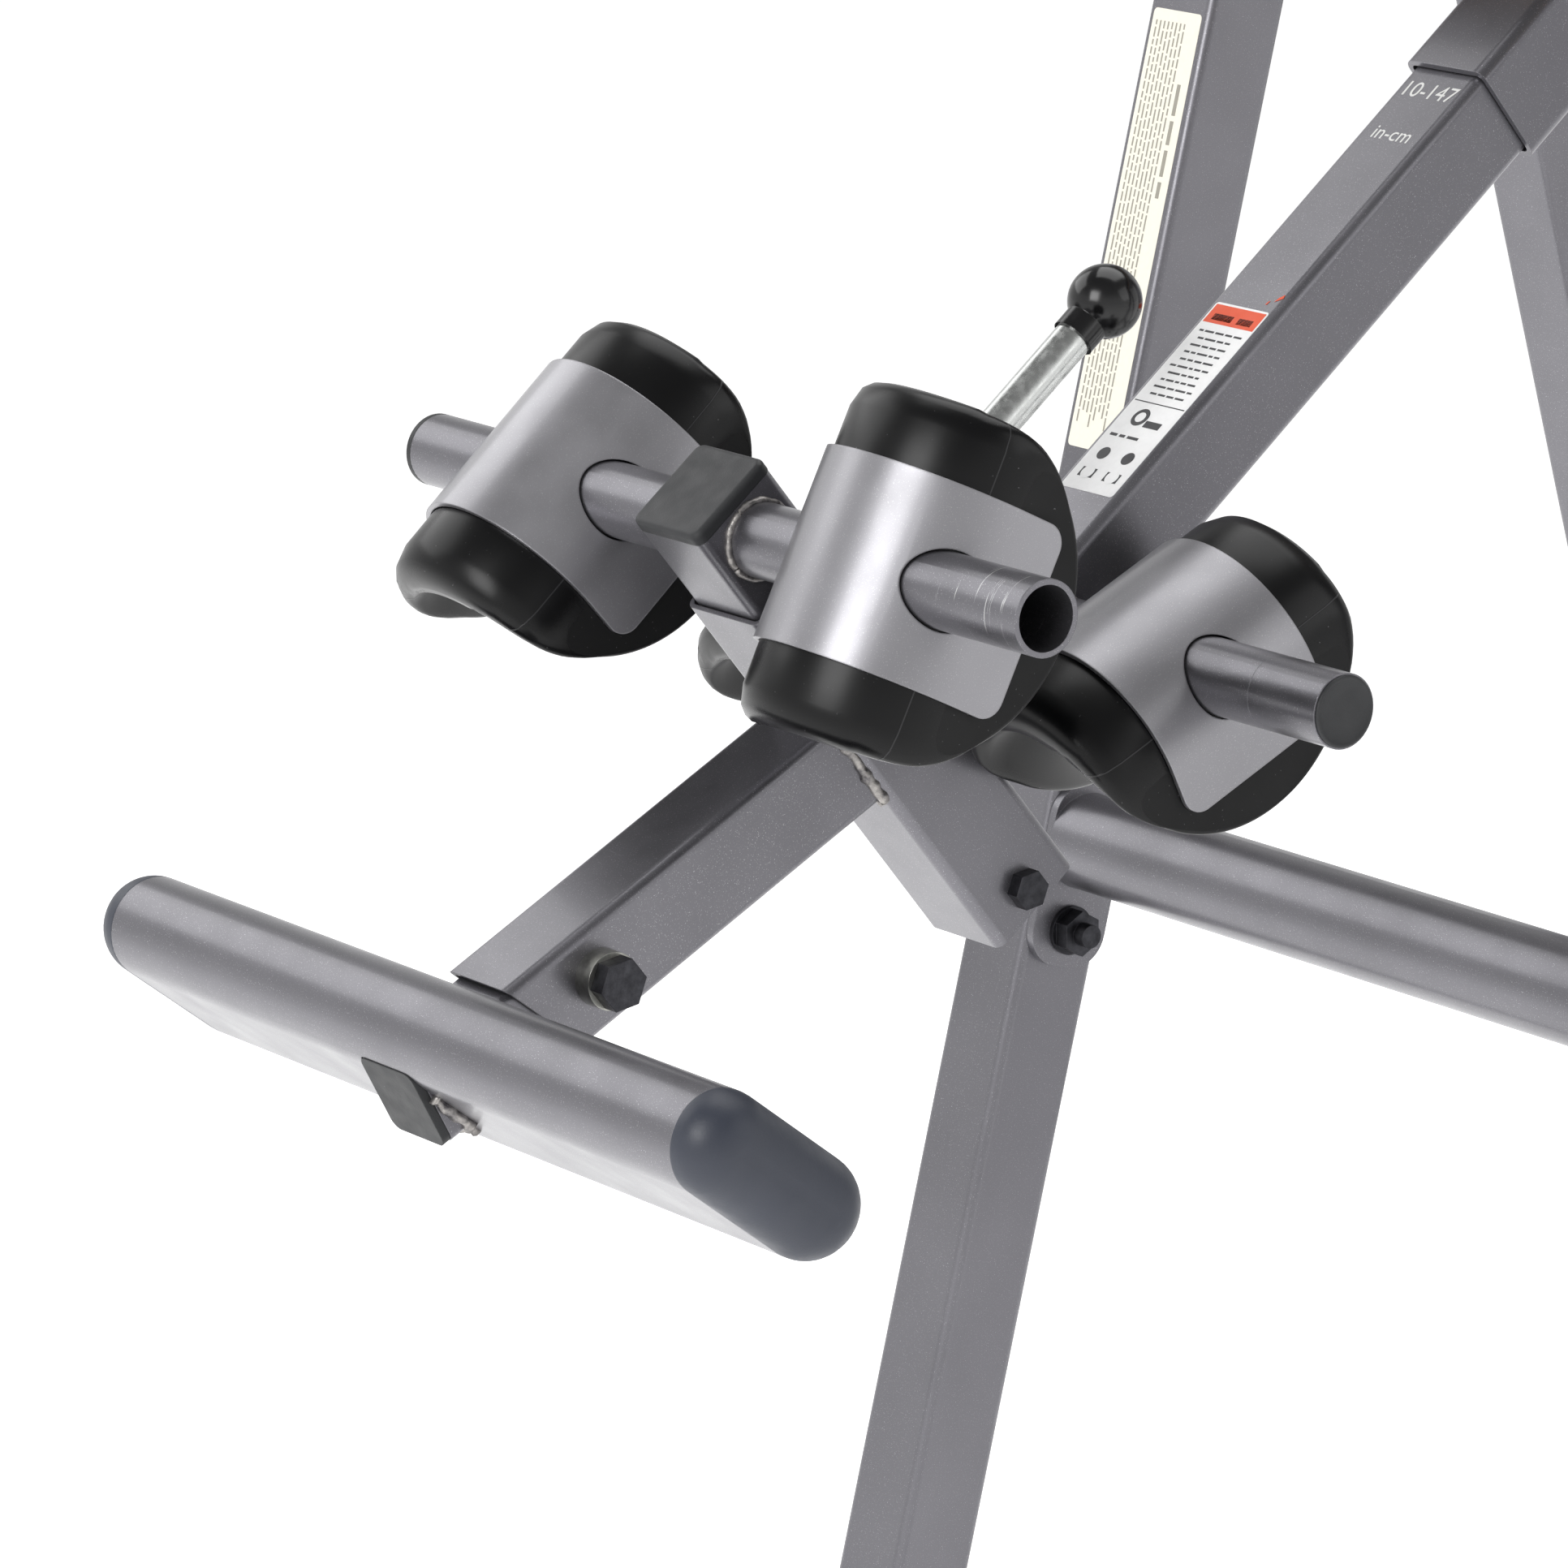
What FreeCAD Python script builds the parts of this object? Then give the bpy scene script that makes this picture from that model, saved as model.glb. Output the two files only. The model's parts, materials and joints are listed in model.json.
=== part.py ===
import FreeCAD, Part
import math
import os

from FreeCAD import Placement, Rotation, Vector

# An inversion table: a folding A-frame carries a padded bed on two pivot pins, and a height
# shaft slides out of the bed's spine and ends in the ankle clamp and the footrest.
# Millimetres. World axes: +X is the user's right, +Y runs from the foot end to the head end,
# +Z is up, and the floor is at Z = 0.
# Table axes (x, s, p): s runs along the height shaft towards the head, p is square to it and
# points up from the bed, and s = 0 is beside the ankle clamp, on the shaft's axis.

# ---- Driving dimensions ----------------------------------------------------------------
PIVOT_HEIGHT = 1240.0        # pivot pins above the floor
PIVOT_Y = 49.6               # pivot pins from the middle of the object's length
TABLE_TILT = 39.2            # table above the horizontal, in degrees
PIVOT_S = 632.6              # pivot pins in table axes
PIVOT_P = 40.0

LEG = 40.0                   # square leg tube
LEG_WALL = 2.0
LEG_X = 320.0                # middle plane of each side of the A-frame
FRONT_LEAN = 13.9            # front leg from the vertical, in degrees
REAR_LEAN = 16.2
LEG_OFFSET = 18.0            # each leg's centre line from the pivot, at pivot height
PLAY = 0.5                   # rear leg to hinge plate, each side
FOOT_THICKNESS = 12.0        # rubber under the end of a leg

SHAFT = 38.0                 # square height shaft
SHAFT_WALL = 2.0
SHAFT_TOP_S = 790.0
RECEIVER = 44.1              # square spine tube that the shaft slides in
RECEIVER_WALL = 2.45
RECEIVER_S = (316.5, 1180.0)
HOLE_PITCH = 25.0            # height holes in the shaft
HOLE_COUNT = 12
SELECTOR_S = 430.0           # height selector pin

SLEEVE = 43.0                # upright sleeve of the ankle clamp
SLEEVE_WALL = 1.8
SLEEVE_S = -24.4
SLEEVE_P = (-70.0, 103.0)
POST = 38.4                  # square post that slides in the sleeve
POST_WALL = 2.0
POST_P = (-55.3, 141.0)
POST_PITCH = 12.7
POST_HOLES = 7               # one at the lock pin and one for each step of the post
LOCK_P = 67.5                # lock pin above the shaft's axis

ANKLE_TUBE = 27.0            # round tubes that carry the ankle pads
ANKLE_TUBE_WALL = 2.0
ANKLE_TUBE_HALF = 180.5
END_SLEEVE = 35.5            # plastic ends of the rear tube
FRONT_TUBE = (SLEEVE_S, 125.0)
REAR_TUBE = (45.7, 3.6)

LOWER_TUBE_TILT = 11.05      # footrest arm from the shaft's line, in degrees
LOWER_TUBE_ROOT = (73.6, 6.8)
LOWER_TUBE_END = 275.0       # from that point along the arm
FOOTREST_ARM = 32.0          # square inner arm
FOOTREST_WALL = 2.0
FOOTREST_ARM_SPAN = (205.0, 326.0)
FOOTREST_BOLT = 249.4        # from the arm's root point
FOOTREST_WALL_OVAL = 2.0
FOOTREST_THICKNESS = 37.5    # flat oval footrest section
FOOTREST_DEPTH = 83.0
FOOTREST_HALF = 174.0
FOOTREST_CENTRE = (-222.4, 61.7)
FOOTREST_TURN = 13.4         # footrest face from square to the shaft, in degrees
FOOTREST_DOME = 17.0

PAD_TUBE_X = {               # pad centre across the table and its turn about the tube, degrees
    "front_right": (86.0, 63.6),
    "front_left": (-105.0, 41.3),
    "rear_right": (75.0, 25.4),
    "rear_left": (-92.0, 30.0),
}
STRAP_RADIUS = 44.4          # outside of the bent strap
STRAP_THICKNESS = 2.0
STRAP_WIDTH = 71.0
STRAP_ARM = 20.0             # straight part of each arm
STRAP_CORNER = 8.0
PAD_DROP = 17.0              # strap's bend centre below the tube's axis
PAD_DISC = 62.3              # radius of the pad's cheeks
PAD_DISC_RISE = 3.8          # cheek's centre above the tube's axis

BED_TUBE = 25.4
BED_TUBE_WALL = 1.8
BED_RAIL_X = 185.0
BED_S = (390.0, 1404.0)      # centre lines of the end bows
BED_BEND = 60.0
BED_CROSS_S = (632.6, 1010.0)
MAT_S = (372.0, 1420.0)
MAT_HALF = 200.0
MAT_THICKNESS = 38.0
BOARD_THICKNESS = 7.0

CROSSBAR = 41.0              # round cross tube of the front frame
CROSSBAR_DROP = 581.0        # below the pivot
CROSSBAR_WALL = 2.0
REAR_CROSSBAR = 38.0
REAR_CROSSBAR_Z = 380.0
TAB = 4.0                    # bolted tab at each crossbar end
TAB_BOLT = 37.0              # bolt below the crossbar's centre

HINGE_DROP = 55.0            # frame hinge bolt below the pivot
BRACE_Z = 200.0              # locking brace above the floor
BRACE_HEIGHT = 26.0
BRACE_X = (349.0, 353.0)
FOLD_ANGLE = 26.0            # rear frame's swing from standing to folded, in degrees

HANDLE_TUBE = 25.4
HANDLE_WALL = 2.0
HANDLE_X = 358.2
HANDLE_BEND = 70.0
HANDLE_LINE = (              # corners from the pivot, (towards the head, up)
    (-62.0, -182.0),
    (-14.0, 22.0),
    (70.0, 150.0),
    (325.0, 214.0),
    (392.0, 108.0),
)
GRIP = 36.0

BUSHING_R = 11.0             # nylon bushing on each pivot pin
PIVOT_PIN_R = 8.0

SIDES = (("left", -1.0), ("right", 1.0))
X_AXIS = Vector(1, 0, 0)
Y_AXIS = Vector(0, 1, 0)
Z_AXIS = Vector(0, 0, 1)

nodes = {}


# ---- Shapes -----------------------------------------------------------------------------
def move(shape, base, turn=None):
    """Return the shape turned and then moved to base."""
    placement = Placement(base, turn or Rotation())
    return shape.transformed(placement.toMatrix())


def on_table(shape):
    """Carry a shape from table axes to the standing pose."""
    lower = move(shape, Vector(0, -PIVOT_S, -PIVOT_P))
    return move(lower, Vector(0, PIVOT_Y, PIVOT_HEIGHT), Rotation(X_AXIS, TABLE_TILT))


def fuse(shapes):
    whole = shapes[0].multiFuse(shapes[1:])
    return whole.removeSplitter()


def rounded_face(width, height, radius):
    """Rectangle with round corners, centred in the XY plane."""
    a = width / 2 - radius
    b = height / 2 - radius
    edges = []
    corners = ((a, b, 0), (-a, b, 90), (-a, -b, 180), (a, -b, 270))
    for cx, cy, start in corners:
        circle = Part.Circle(Vector(cx, cy, 0), Z_AXIS, radius)
        first = math.radians(start)
        edges.append(Part.Arc(circle, first, first + math.pi / 2).toShape())
    outline = []
    for index, edge in enumerate(edges):
        following = edges[(index + 1) % len(edges)]
        start_point = edge.valueAt(edge.LastParameter)
        end_point = following.valueAt(following.FirstParameter)
        outline.append(edge)
        outline.append(Part.LineSegment(start_point, end_point).toShape())
    return Part.Face(Part.Wire(Part.__sortEdges__(outline)))


def prism(face, start, length):
    """Extrude a face of the XY plane along +Z from height start."""
    return move(face, Vector(0, 0, start)).extrude(Vector(0, 0, length))


def square_tube(size, wall, start, length, radius=4.0):
    outer = prism(rounded_face(size, size, radius), start, length)
    bore = size - 2 * wall
    inner = prism(rounded_face(bore, bore, max(radius - wall, 1.0)), start - 1, length + 2)
    return outer.cut(inner)


def x_rod(radius, x_from, x_to, y, z):
    low, high = min(x_from, x_to), max(x_from, x_to)
    return Part.makeCylinder(radius, high - low, Vector(low, y, z), X_AXIS)


def x_tube(radius, wall, x_from, x_to, y, z):
    return x_rod(radius, x_from, x_to, y, z).cut(x_rod(radius - wall, x_from - 1, x_to + 1, y, z))


def x_plate(points, x_from, thickness):
    """Flat plate whose outline is drawn in the YZ plane."""
    closed = [Vector(x_from, y, z) for y, z in points]
    closed.append(closed[0])
    return Part.Face(Part.makePolygon(closed)).extrude(Vector(thickness, 0, 0))


def span(side, near, far):
    """X range of something on one side, from the inner to the outer distance."""
    return (near, far) if side > 0 else (-far, -near)


def side_plate(points, side, near, far):
    low, high = span(side, near, far)
    return x_plate(points, low, high - low)


def side_rod(radius, side, near, far, y, z):
    low, high = span(side, near, far)
    return x_rod(radius, low, high, y, z)


def hexagon(across, x_from, x_to, y, z):
    radius = across / math.sqrt(3)
    points = []
    for step in range(6):
        angle = math.radians(60 * step + 30)
        points.append((y + radius * math.cos(angle), z + radius * math.sin(angle)))
    low, high = min(x_from, x_to), max(x_from, x_to)
    return x_plate(points, low, high - low)


def bolt(radius, across, head, x_head, x_nut, y, z, stub=5.0):
    """Hex bolt along X with its nut: the head bears at x_head and the nut at x_nut."""
    way = 1.0 if x_head > x_nut else -1.0
    shank = x_rod(radius, x_head, x_nut - way * (head + stub), y, z)
    top = hexagon(across, x_head, x_head + way * head, y, z)
    nut = hexagon(across, x_nut, x_nut - way * head, y, z)
    return fuse([shank, top, nut])


def bent_wire(points, radius):
    """Straight runs joined by tangent arcs."""
    edges = []
    last = points[0]
    for before, corner, after in zip(points, points[1:], points[2:]):
        arriving = (corner - before).normalize()
        leaving = (after - corner).normalize()
        turn = arriving.getAngle(leaving)
        setback = radius * math.tan(turn / 2)
        start = corner - arriving * setback
        end = corner + leaving * setback
        inward = (leaving - arriving).normalize()
        centre = corner + inward * (radius / math.cos(turn / 2))
        middle = centre - inward * radius
        edges.append(Part.LineSegment(last, start).toShape())
        edges.append(Part.Arc(start, middle, end).toShape())
        last = end
    edges.append(Part.LineSegment(last, points[-1]).toShape())
    return Part.Wire(edges)


def pipe(wire, radius, direction):
    start = wire.Vertexes[0].Point
    profile = Part.Wire(Part.makeCircle(radius, start, direction))
    return wire.makePipeShell([profile], True, False)


def bent_tube(points, bend, outer, wall):
    wire = bent_wire(points, bend)
    direction = (points[1] - points[0]).normalize()
    return pipe(wire, outer / 2, direction).cut(pipe(wire, outer / 2 - wall, direction))


def coil(radius, wire_radius, pitch, height):
    """Helical spring along +Z from the origin."""
    helix = Part.makeHelix(pitch, height, radius)
    profile = Part.Wire(Part.makeCircle(wire_radius, Vector(radius, 0, 0), Y_AXIS))
    return Part.Wire(helix).makePipeShell([profile], True, False)


# ---- A-frame ----------------------------------------------------------------------------
def leg_y(lean_way, z):
    """Y of a leg's centre line at height z: lean_way is -1 for front, +1 for rear."""
    lean = FRONT_LEAN if lean_way < 0 else REAR_LEAN
    run = (PIVOT_HEIGHT - z) * math.tan(math.radians(lean))
    return PIVOT_Y + lean_way * (LEG_OFFSET + run)


def leg_turn(lean_way):
    lean = FRONT_LEAN if lean_way < 0 else REAR_LEAN
    return Rotation(X_AXIS, lean_way * lean)


def along_leg(shape, side, lean_way, z):
    """Stand a shape drawn along +Z on a leg's centre line at height z."""
    base = Vector(side * LEG_X, leg_y(lean_way, z), z)
    return move(shape, base, leg_turn(lean_way))


def leg_length(lean_way, drop):
    """Length along a leg for a difference in height."""
    lean = FRONT_LEAN if lean_way < 0 else REAR_LEAN
    return drop / math.cos(math.radians(lean))


def above_floor(shape, height):
    reach = 2000.0
    below = Part.makeBox(reach, reach, reach, Vector(-reach / 2, -reach / 2, height - reach))
    return shape.cut(below)


BRACE_FRONT_Y = leg_y(-1, BRACE_Z)
BRACE_REAR_Y = leg_y(1, BRACE_Z)
HINGE_Z = PIVOT_HEIGHT - HINGE_DROP
HINGE_Y = leg_y(1, HINGE_Z)
CROSSBAR_Z = PIVOT_HEIGHT - CROSSBAR_DROP
LEG_IN = LEG_X - LEG / 2
LEG_OUT = LEG_X + LEG / 2
REAR_X = LEG_IN + PLAY
PLATE = 5.0
FRAME_TOP = 22.0
HINGE_BOLT_R = 5.0
M8_R = 4.0
M8_HOLE = 4.1
BOOT_HEIGHT = 46.0
BOOT_GROWTH = 4.0            # rubber around the leg at the top of a boot
BOOT_FLARE = 4.0             # more rubber at its base, on each side
HANDLE_BOLTS = ((-52.0, -140.0), (-33.0, -62.0))
REAR_LEG_ABOVE = 25.0        # rear leg beyond its hinge bolt


def boot(side, lean_way, width):
    """Rubber foot: a tapered block cut flat on the floor, with a socket for the leg."""
    top = 2 * BOOT_GROWTH
    base = 2 * (BOOT_GROWTH + BOOT_FLARE)
    sole = rounded_face(width + base, LEG + base + 2, 7)
    rim = move(rounded_face(width + top, LEG + top, 6), Vector(0, 0, BOOT_HEIGHT))
    taper = Part.makeLoft([Part.Wire(sole.Edges), Part.Wire(rim.Edges)], True)
    skirt = prism(sole, -20, 20)
    block = above_floor(along_leg(fuse([taper, skirt]), side, lean_way, 0), 0)
    socket = along_leg(prism(rounded_face(width, LEG, 4.0), -40, 200), side, lean_way, 0)
    return block.cut(above_floor(socket, FOOT_THICKNESS))


def front_leg(side):
    top = leg_length(-1, PIVOT_HEIGHT + FRAME_TOP)
    tube = along_leg(square_tube(LEG, LEG_WALL, -40, top + 40), side, -1, 0)
    tube = above_floor(tube, FOOT_THICKNESS)
    holes = []
    for dy, dz in HANDLE_BOLTS:
        holes.append(side_rod(M8_HOLE, side, LEG_IN - 1, LEG_OUT + 1, PIVOT_Y + dy, PIVOT_HEIGHT + dz))
    y, z = tab_bolt_point(-1, CROSSBAR_Z)
    holes.append(side_rod(HINGE_BOLT_R + 0.1, side, LEG_IN - 1, LEG_OUT + 1, y, z))
    holes.append(side_rod(STUD_R + 0.1, side, LEG_OUT - 3, LEG_OUT + 1, BRACE_FRONT_Y, BRACE_Z))
    return tube.cut(Part.makeCompound(holes))


def rear_leg(side):
    top = leg_length(1, HINGE_Z) + REAR_LEG_ABOVE
    face = rounded_face(LEG - 2 * PLAY, LEG, 4.0)
    bore = rounded_face(LEG - 2 * PLAY - 2 * LEG_WALL, LEG - 2 * LEG_WALL, 2.0)
    tube = prism(face, -40, top + 40).cut(prism(bore, -41, top + 42))
    tube = above_floor(along_leg(tube, side, 1, 0), FOOT_THICKNESS)
    y, z = tab_bolt_point(1, REAR_CROSSBAR_Z)
    holes = [
        side_rod(HINGE_BOLT_R + 0.06, side, LEG_IN - 1, LEG_OUT + 1, HINGE_Y, HINGE_Z),
        side_rod(HINGE_BOLT_R + 0.1, side, LEG_IN - 1, LEG_OUT + 1, y, z),
        side_rod(M8_HOLE, side, LEG_IN - 1, LEG_OUT + 1, BRACE_REAR_Y, BRACE_Z),
    ]
    return tube.cut(Part.makeCompound(holes))


def leg_cap(side, lean_way, width):
    """Plastic cap in the open top of a leg."""
    height = PIVOT_HEIGHT + FRAME_TOP if lean_way < 0 else HINGE_Z
    extra = 0.0 if lean_way < 0 else REAR_LEG_ABOVE
    top = leg_length(lean_way, height) + extra
    lid = prism(rounded_face(width, LEG, 4.0), top, 4)
    bore_x = width - 2 * LEG_WALL - 0.4
    spigot = prism(rounded_face(bore_x, LEG - 2 * LEG_WALL - 0.4, 2.0), top - 14, 14)
    return along_leg(fuse([lid, spigot]), side, lean_way, 0)


def tab_bolt_point(lean_way, z_bar):
    """Bolt below a crossbar, on the leg's centre line."""
    z = z_bar - TAB_BOLT
    return leg_y(lean_way, z), z


def crossbar(lean_way, z_bar, diameter, x_face):
    """Round cross tube with a rounded tab at each end, bolted to the legs' inner faces."""
    y = leg_y(lean_way, z_bar)
    tube = x_tube(diameter / 2, CROSSBAR_WALL, -x_face + TAB, x_face - TAB, y, z_bar)
    pieces = [tube]
    upper = 24.0
    lower = TAB_BOLT + 17.0
    for _, side in SIDES:
        outline = rounded_face(LEG - 1, upper + lower, 15.0)
        tab = move(outline.extrude(Vector(0, 0, TAB)), Vector(), Rotation(Z_AXIS, 90))
        tab = move(tab, Vector(), Rotation(Y_AXIS, 90))
        tab = move(tab, Vector(0, 0, (upper - lower) / 2))
        tab = move(tab, Vector(), leg_turn(lean_way))
        low, _ = span(side, x_face - TAB, x_face)
        tab = move(tab, Vector(low, y, z_bar))
        bolt_y, bolt_z = tab_bolt_point(lean_way, z_bar)
        hole = x_rod(HINGE_BOLT_R + 0.1, low - 1, low + TAB + 1, bolt_y, bolt_z)
        pieces.append(tab.cut(hole))
    return fuse(pieces)


def crossbar_bolt(side, lean_way, z_bar, x_face):
    y, z = tab_bolt_point(lean_way, z_bar)
    outer = 2 * LEG_X - x_face
    washer = side_rod(10.5, side, x_face - TAB - 2, x_face - TAB, y, z)
    fastener = bolt(HINGE_BOLT_R, 17, 7, side * outer, side * (x_face - TAB - 2), y, z, 6)
    return fuse([fastener, washer])


def bracket_outline():
    shape = ((-62, -105), (-26, 14), (44, 14), (60, -50), (52, -88), (16, -92))
    return [(PIVOT_Y + y, PIVOT_HEIGHT + z) for y, z in shape]


SADDLE_X = (269.0, 295.0)
SADDLE_R = BUSHING_R + 0.3
SADDLE_WALL = 5.0
SADDLE_RIM = 14.0            # top of the saddle above the pivot
HOOK_X = (263.0, 267.5)
HOOK_PIVOT = (30.0, 2.0)
HOOK_PIN_R = 4.0
HOOK_R = 17.0


def saddle_notch(side, near, far, radius):
    """Round seat open at the top, about the pivot axis."""
    low, high = span(side, near, far)
    seat = x_rod(radius, low, high, PIVOT_Y, PIVOT_HEIGHT)
    mouth = Part.makeBox(high - low, 2 * radius, 40, Vector(low, PIVOT_Y - radius, PIVOT_HEIGHT))
    return fuse([seat, mouth])


def pivot_bracket(side):
    """Two welded plates at the top of a front leg, with the seat for the pivot bushing."""
    inner = side_plate(bracket_outline(), side, LEG_IN - PLATE, LEG_IN)
    low, high = span(side, *SADDLE_X)
    radius = SADDLE_R + SADDLE_WALL
    cradle = x_rod(radius, low, high, PIVOT_Y, PIVOT_HEIGHT)
    walls = Part.makeBox(high - low, 2 * radius, SADDLE_RIM, Vector(low, PIVOT_Y - radius, PIVOT_HEIGHT))
    top = Part.makeBox(high - low + 2, 80, 40, Vector(low - 1, PIVOT_Y - 40, PIVOT_HEIGHT + SADDLE_RIM))
    hook = (PIVOT_Y + HOOK_PIVOT[0], PIVOT_HEIGHT + HOOK_PIVOT[1])
    boss = side_rod(6, side, HOOK_X[1] + 0.8, LEG_IN - PLATE, *hook)
    pin = side_rod(HOOK_PIN_R, side, HOOK_X[0] - 1, HOOK_X[1] + 0.8, *hook)
    head = side_rod(7, side, HOOK_X[0] - 4, HOOK_X[0] - 0.5, *hook)
    block = fuse([inner, cradle, walls, boss, pin, head]).cut(top)
    block = block.cut(saddle_notch(side, SADDLE_X[0] - 1, LEG_IN + 1, SADDLE_R))
    outer = side_plate(bracket_outline(), side, LEG_OUT, LEG_OUT + PLATE)
    holes = [side_rod(HINGE_BOLT_R + 0.1, side, 280, 360, HINGE_Y, HINGE_Z)]
    for dy, dz in HANDLE_BOLTS:
        holes.append(side_rod(M8_HOLE, side, 280, 360, PIVOT_Y + dy, PIVOT_HEIGHT + dz))
    drill = Part.makeCompound(holes)
    return Part.makeCompound([block.cut(drill), outer.cut(drill)])


def pivot_lock(side):
    """Hook that swings over the pivot pin and keeps the table from lifting out."""
    low, high = span(side, *HOOK_X)
    width = high - low
    nose = x_rod(HOOK_R, low, high, PIVOT_Y, PIVOT_HEIGHT)
    pivot_y = PIVOT_Y + HOOK_PIVOT[0]
    pivot_z = PIVOT_HEIGHT + HOOK_PIVOT[1]
    arm = Part.makeBox(width, 26, 17, Vector(low, PIVOT_Y + 4, PIVOT_HEIGHT - 5))
    eye = x_rod(10, low, high, pivot_y, pivot_z)
    tail = Part.makeBox(width, 34, 9, Vector(low, pivot_y, pivot_z + 1))
    thumb = x_rod(7, low, high, pivot_y + 36, pivot_z + 5.5)
    plate = fuse([nose, arm, eye, tail, thumb])
    room = PIVOT_PIN_R + 0.5
    seat = x_rod(room, low - 1, high + 1, PIVOT_Y, PIVOT_HEIGHT)
    swing = math.hypot(*HOOK_PIVOT)
    ring = x_rod(swing + room, low - 1, high + 1, pivot_y, pivot_z)
    ring = ring.cut(x_rod(swing - room, low - 2, high + 2, pivot_y, pivot_z))
    below = Part.makeBox(width + 4, 50, 50, Vector(low - 2, pivot_y - 50, PIVOT_HEIGHT - 50))
    hole = x_rod(HOOK_PIN_R + 0.06, low - 1, high + 1, pivot_y, pivot_z)
    return plate.cut(fuse([seat, ring.common(below)])).cut(hole)


def front_frame_bolts():
    """Frame hinge bolts, handle bolts and the front crossbar's bolts."""
    solids = []
    for _, side in SIDES:
        solids.append(crossbar_bolt(side, -1, CROSSBAR_Z, LEG_IN))
        head_x = side * (LEG_IN - PLATE)
        solids.append(bolt(HINGE_BOLT_R, 17, 7, head_x, side * (LEG_OUT + PLATE), HINGE_Y, HINGE_Z, 0))
        for dy, dz in HANDLE_BOLTS:
            y = PIVOT_Y + dy
            z = PIVOT_HEIGHT + dz
            near = LEG_IN - (PLATE if dz > -100 else 0)
            shank = side_rod(M8_R, side, near, HANDLE_X, y, z)
            low, high = span(side, near - 5.5, near)
            solids.append(fuse([shank, hexagon(13, low, high, y, z)]))
    return Part.makeCompound(solids)


def handle_points(side):
    """Centre line of the side handle, from the leg mount over the pivot to the head side."""
    x = side * HANDLE_X
    return [Vector(x, PIVOT_Y + y, PIVOT_HEIGHT + z) for y, z in HANDLE_LINE]


def handle(side):
    tube = bent_tube(handle_points(side), HANDLE_BEND, HANDLE_TUBE, HANDLE_WALL)
    holes = []
    for dy, dz in HANDLE_BOLTS:
        holes.append(side_rod(M8_HOLE, side, LEG_OUT, HANDLE_X + 0.5, PIVOT_Y + dy, PIVOT_HEIGHT + dz))
    return tube.cut(Part.makeCompound(holes))


def handle_grip(side):
    """Foam sleeve over the straight upper run of a handle."""
    points = handle_points(side)
    way = (points[3] - points[2]).normalize()
    start = points[2] + way * 46
    end = points[3] - way * 66
    outer = Part.makeCylinder(GRIP / 2, (end - start).Length, start, way)
    outer = outer.makeFillet(4.0, [e for e in outer.Edges if len(e.Vertexes) == 1])
    return outer.cut(Part.makeCylinder(HANDLE_TUBE / 2 + 0.1, (end - start).Length, start, way))


def handle_plug(end, before):
    """Plastic plug in an open end of a handle."""
    way = (end - before).normalize()
    dome = Part.makeCylinder(HANDLE_TUBE / 2, 4, end, way)
    spigot = Part.makeCylinder(HANDLE_TUBE / 2 - HANDLE_WALL - 0.2, 12, end - way * 12, way)
    return fuse([dome, spigot])


STUD_R = 5.0
NOTCH_R = 5.6
BRACE_NOSE = 18.0            # brace beyond its notch


def notch_way():
    """Direction in which the stud leaves the brace's notch as the frame starts to fold."""
    spin = 1.0 + (90.0 - REAR_LEAN) / FOLD_ANGLE
    swing = (BRACE_REAR_Y - BRACE_FRONT_Y) * spin
    return Vector(0, HINGE_Z - BRACE_Z, BRACE_REAR_Y - HINGE_Y - swing).normalize()


def brace(side):
    """Flat locking bar: pivots on the rear leg and hooks over a stud on the front leg."""
    low, high = span(side, *BRACE_X)
    half = BRACE_HEIGHT / 2
    tip_y = BRACE_FRONT_Y - BRACE_NOSE
    bar = Part.makeBox(high - low, BRACE_REAR_Y - tip_y, BRACE_HEIGHT, Vector(low, tip_y, BRACE_Z - half))
    tip = [e for e in bar.Edges if e.BoundBox.YMax < tip_y + 1 and e.BoundBox.XLength > 1]
    plate = fuse([bar.makeFillet(8.0, tip), x_rod(half, low, high, BRACE_REAR_Y, BRACE_Z)])
    seat = x_rod(NOTCH_R, low - 1, high + 1, BRACE_FRONT_Y, BRACE_Z)
    mouth = Part.makeBox(high - low + 2, 2 * NOTCH_R, 40, Vector(-(high - low + 2) / 2, -NOTCH_R, 0))
    turn = Rotation(X_AXIS, -math.degrees(math.atan2(notch_way().y, notch_way().z)))
    mouth = move(mouth, Vector((low + high) / 2, BRACE_FRONT_Y, BRACE_Z), turn)
    hole = x_rod(M8_R + 0.06, low - 1, high + 1, BRACE_REAR_Y, BRACE_Z)
    return plate.cut(fuse([seat, mouth])).cut(hole)


def brace_studs():
    """Shouldered studs on the front legs' outer faces, one for each brace's hook."""
    solids = []
    for _, side in SIDES:
        shoulder = side_rod(8, side, LEG_OUT, BRACE_X[0] - 1, BRACE_FRONT_Y, BRACE_Z)
        stem = side_rod(STUD_R, side, LEG_OUT - LEG_WALL, BRACE_X[1] + 1, BRACE_FRONT_Y, BRACE_Z)
        head = side_rod(9, side, BRACE_X[1] + 1, BRACE_X[1] + 5, BRACE_FRONT_Y, BRACE_Z)
        solids.append(fuse([shoulder, stem, head]))
    return Part.makeCompound(solids)


def brace_bolt(side):
    """Pivot bolt through the rear leg, with a spacer between the leg and the brace."""
    head_x = BRACE_X[1] + 0.5
    shank = side_rod(M8_R, side, REAR_X - 7, head_x, BRACE_REAR_Y, BRACE_Z)
    collar = side_rod(8, side, LEG_OUT - PLAY, BRACE_X[0] - 0.3, BRACE_REAR_Y, BRACE_Z)
    low, high = span(side, head_x, head_x + 5)
    head = hexagon(13, low, high, BRACE_REAR_Y, BRACE_Z)
    low, high = span(side, REAR_X - 6, REAR_X)
    nut = hexagon(13, low, high, BRACE_REAR_Y, BRACE_Z)
    return fuse([shank, collar, head, nut])


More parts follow.
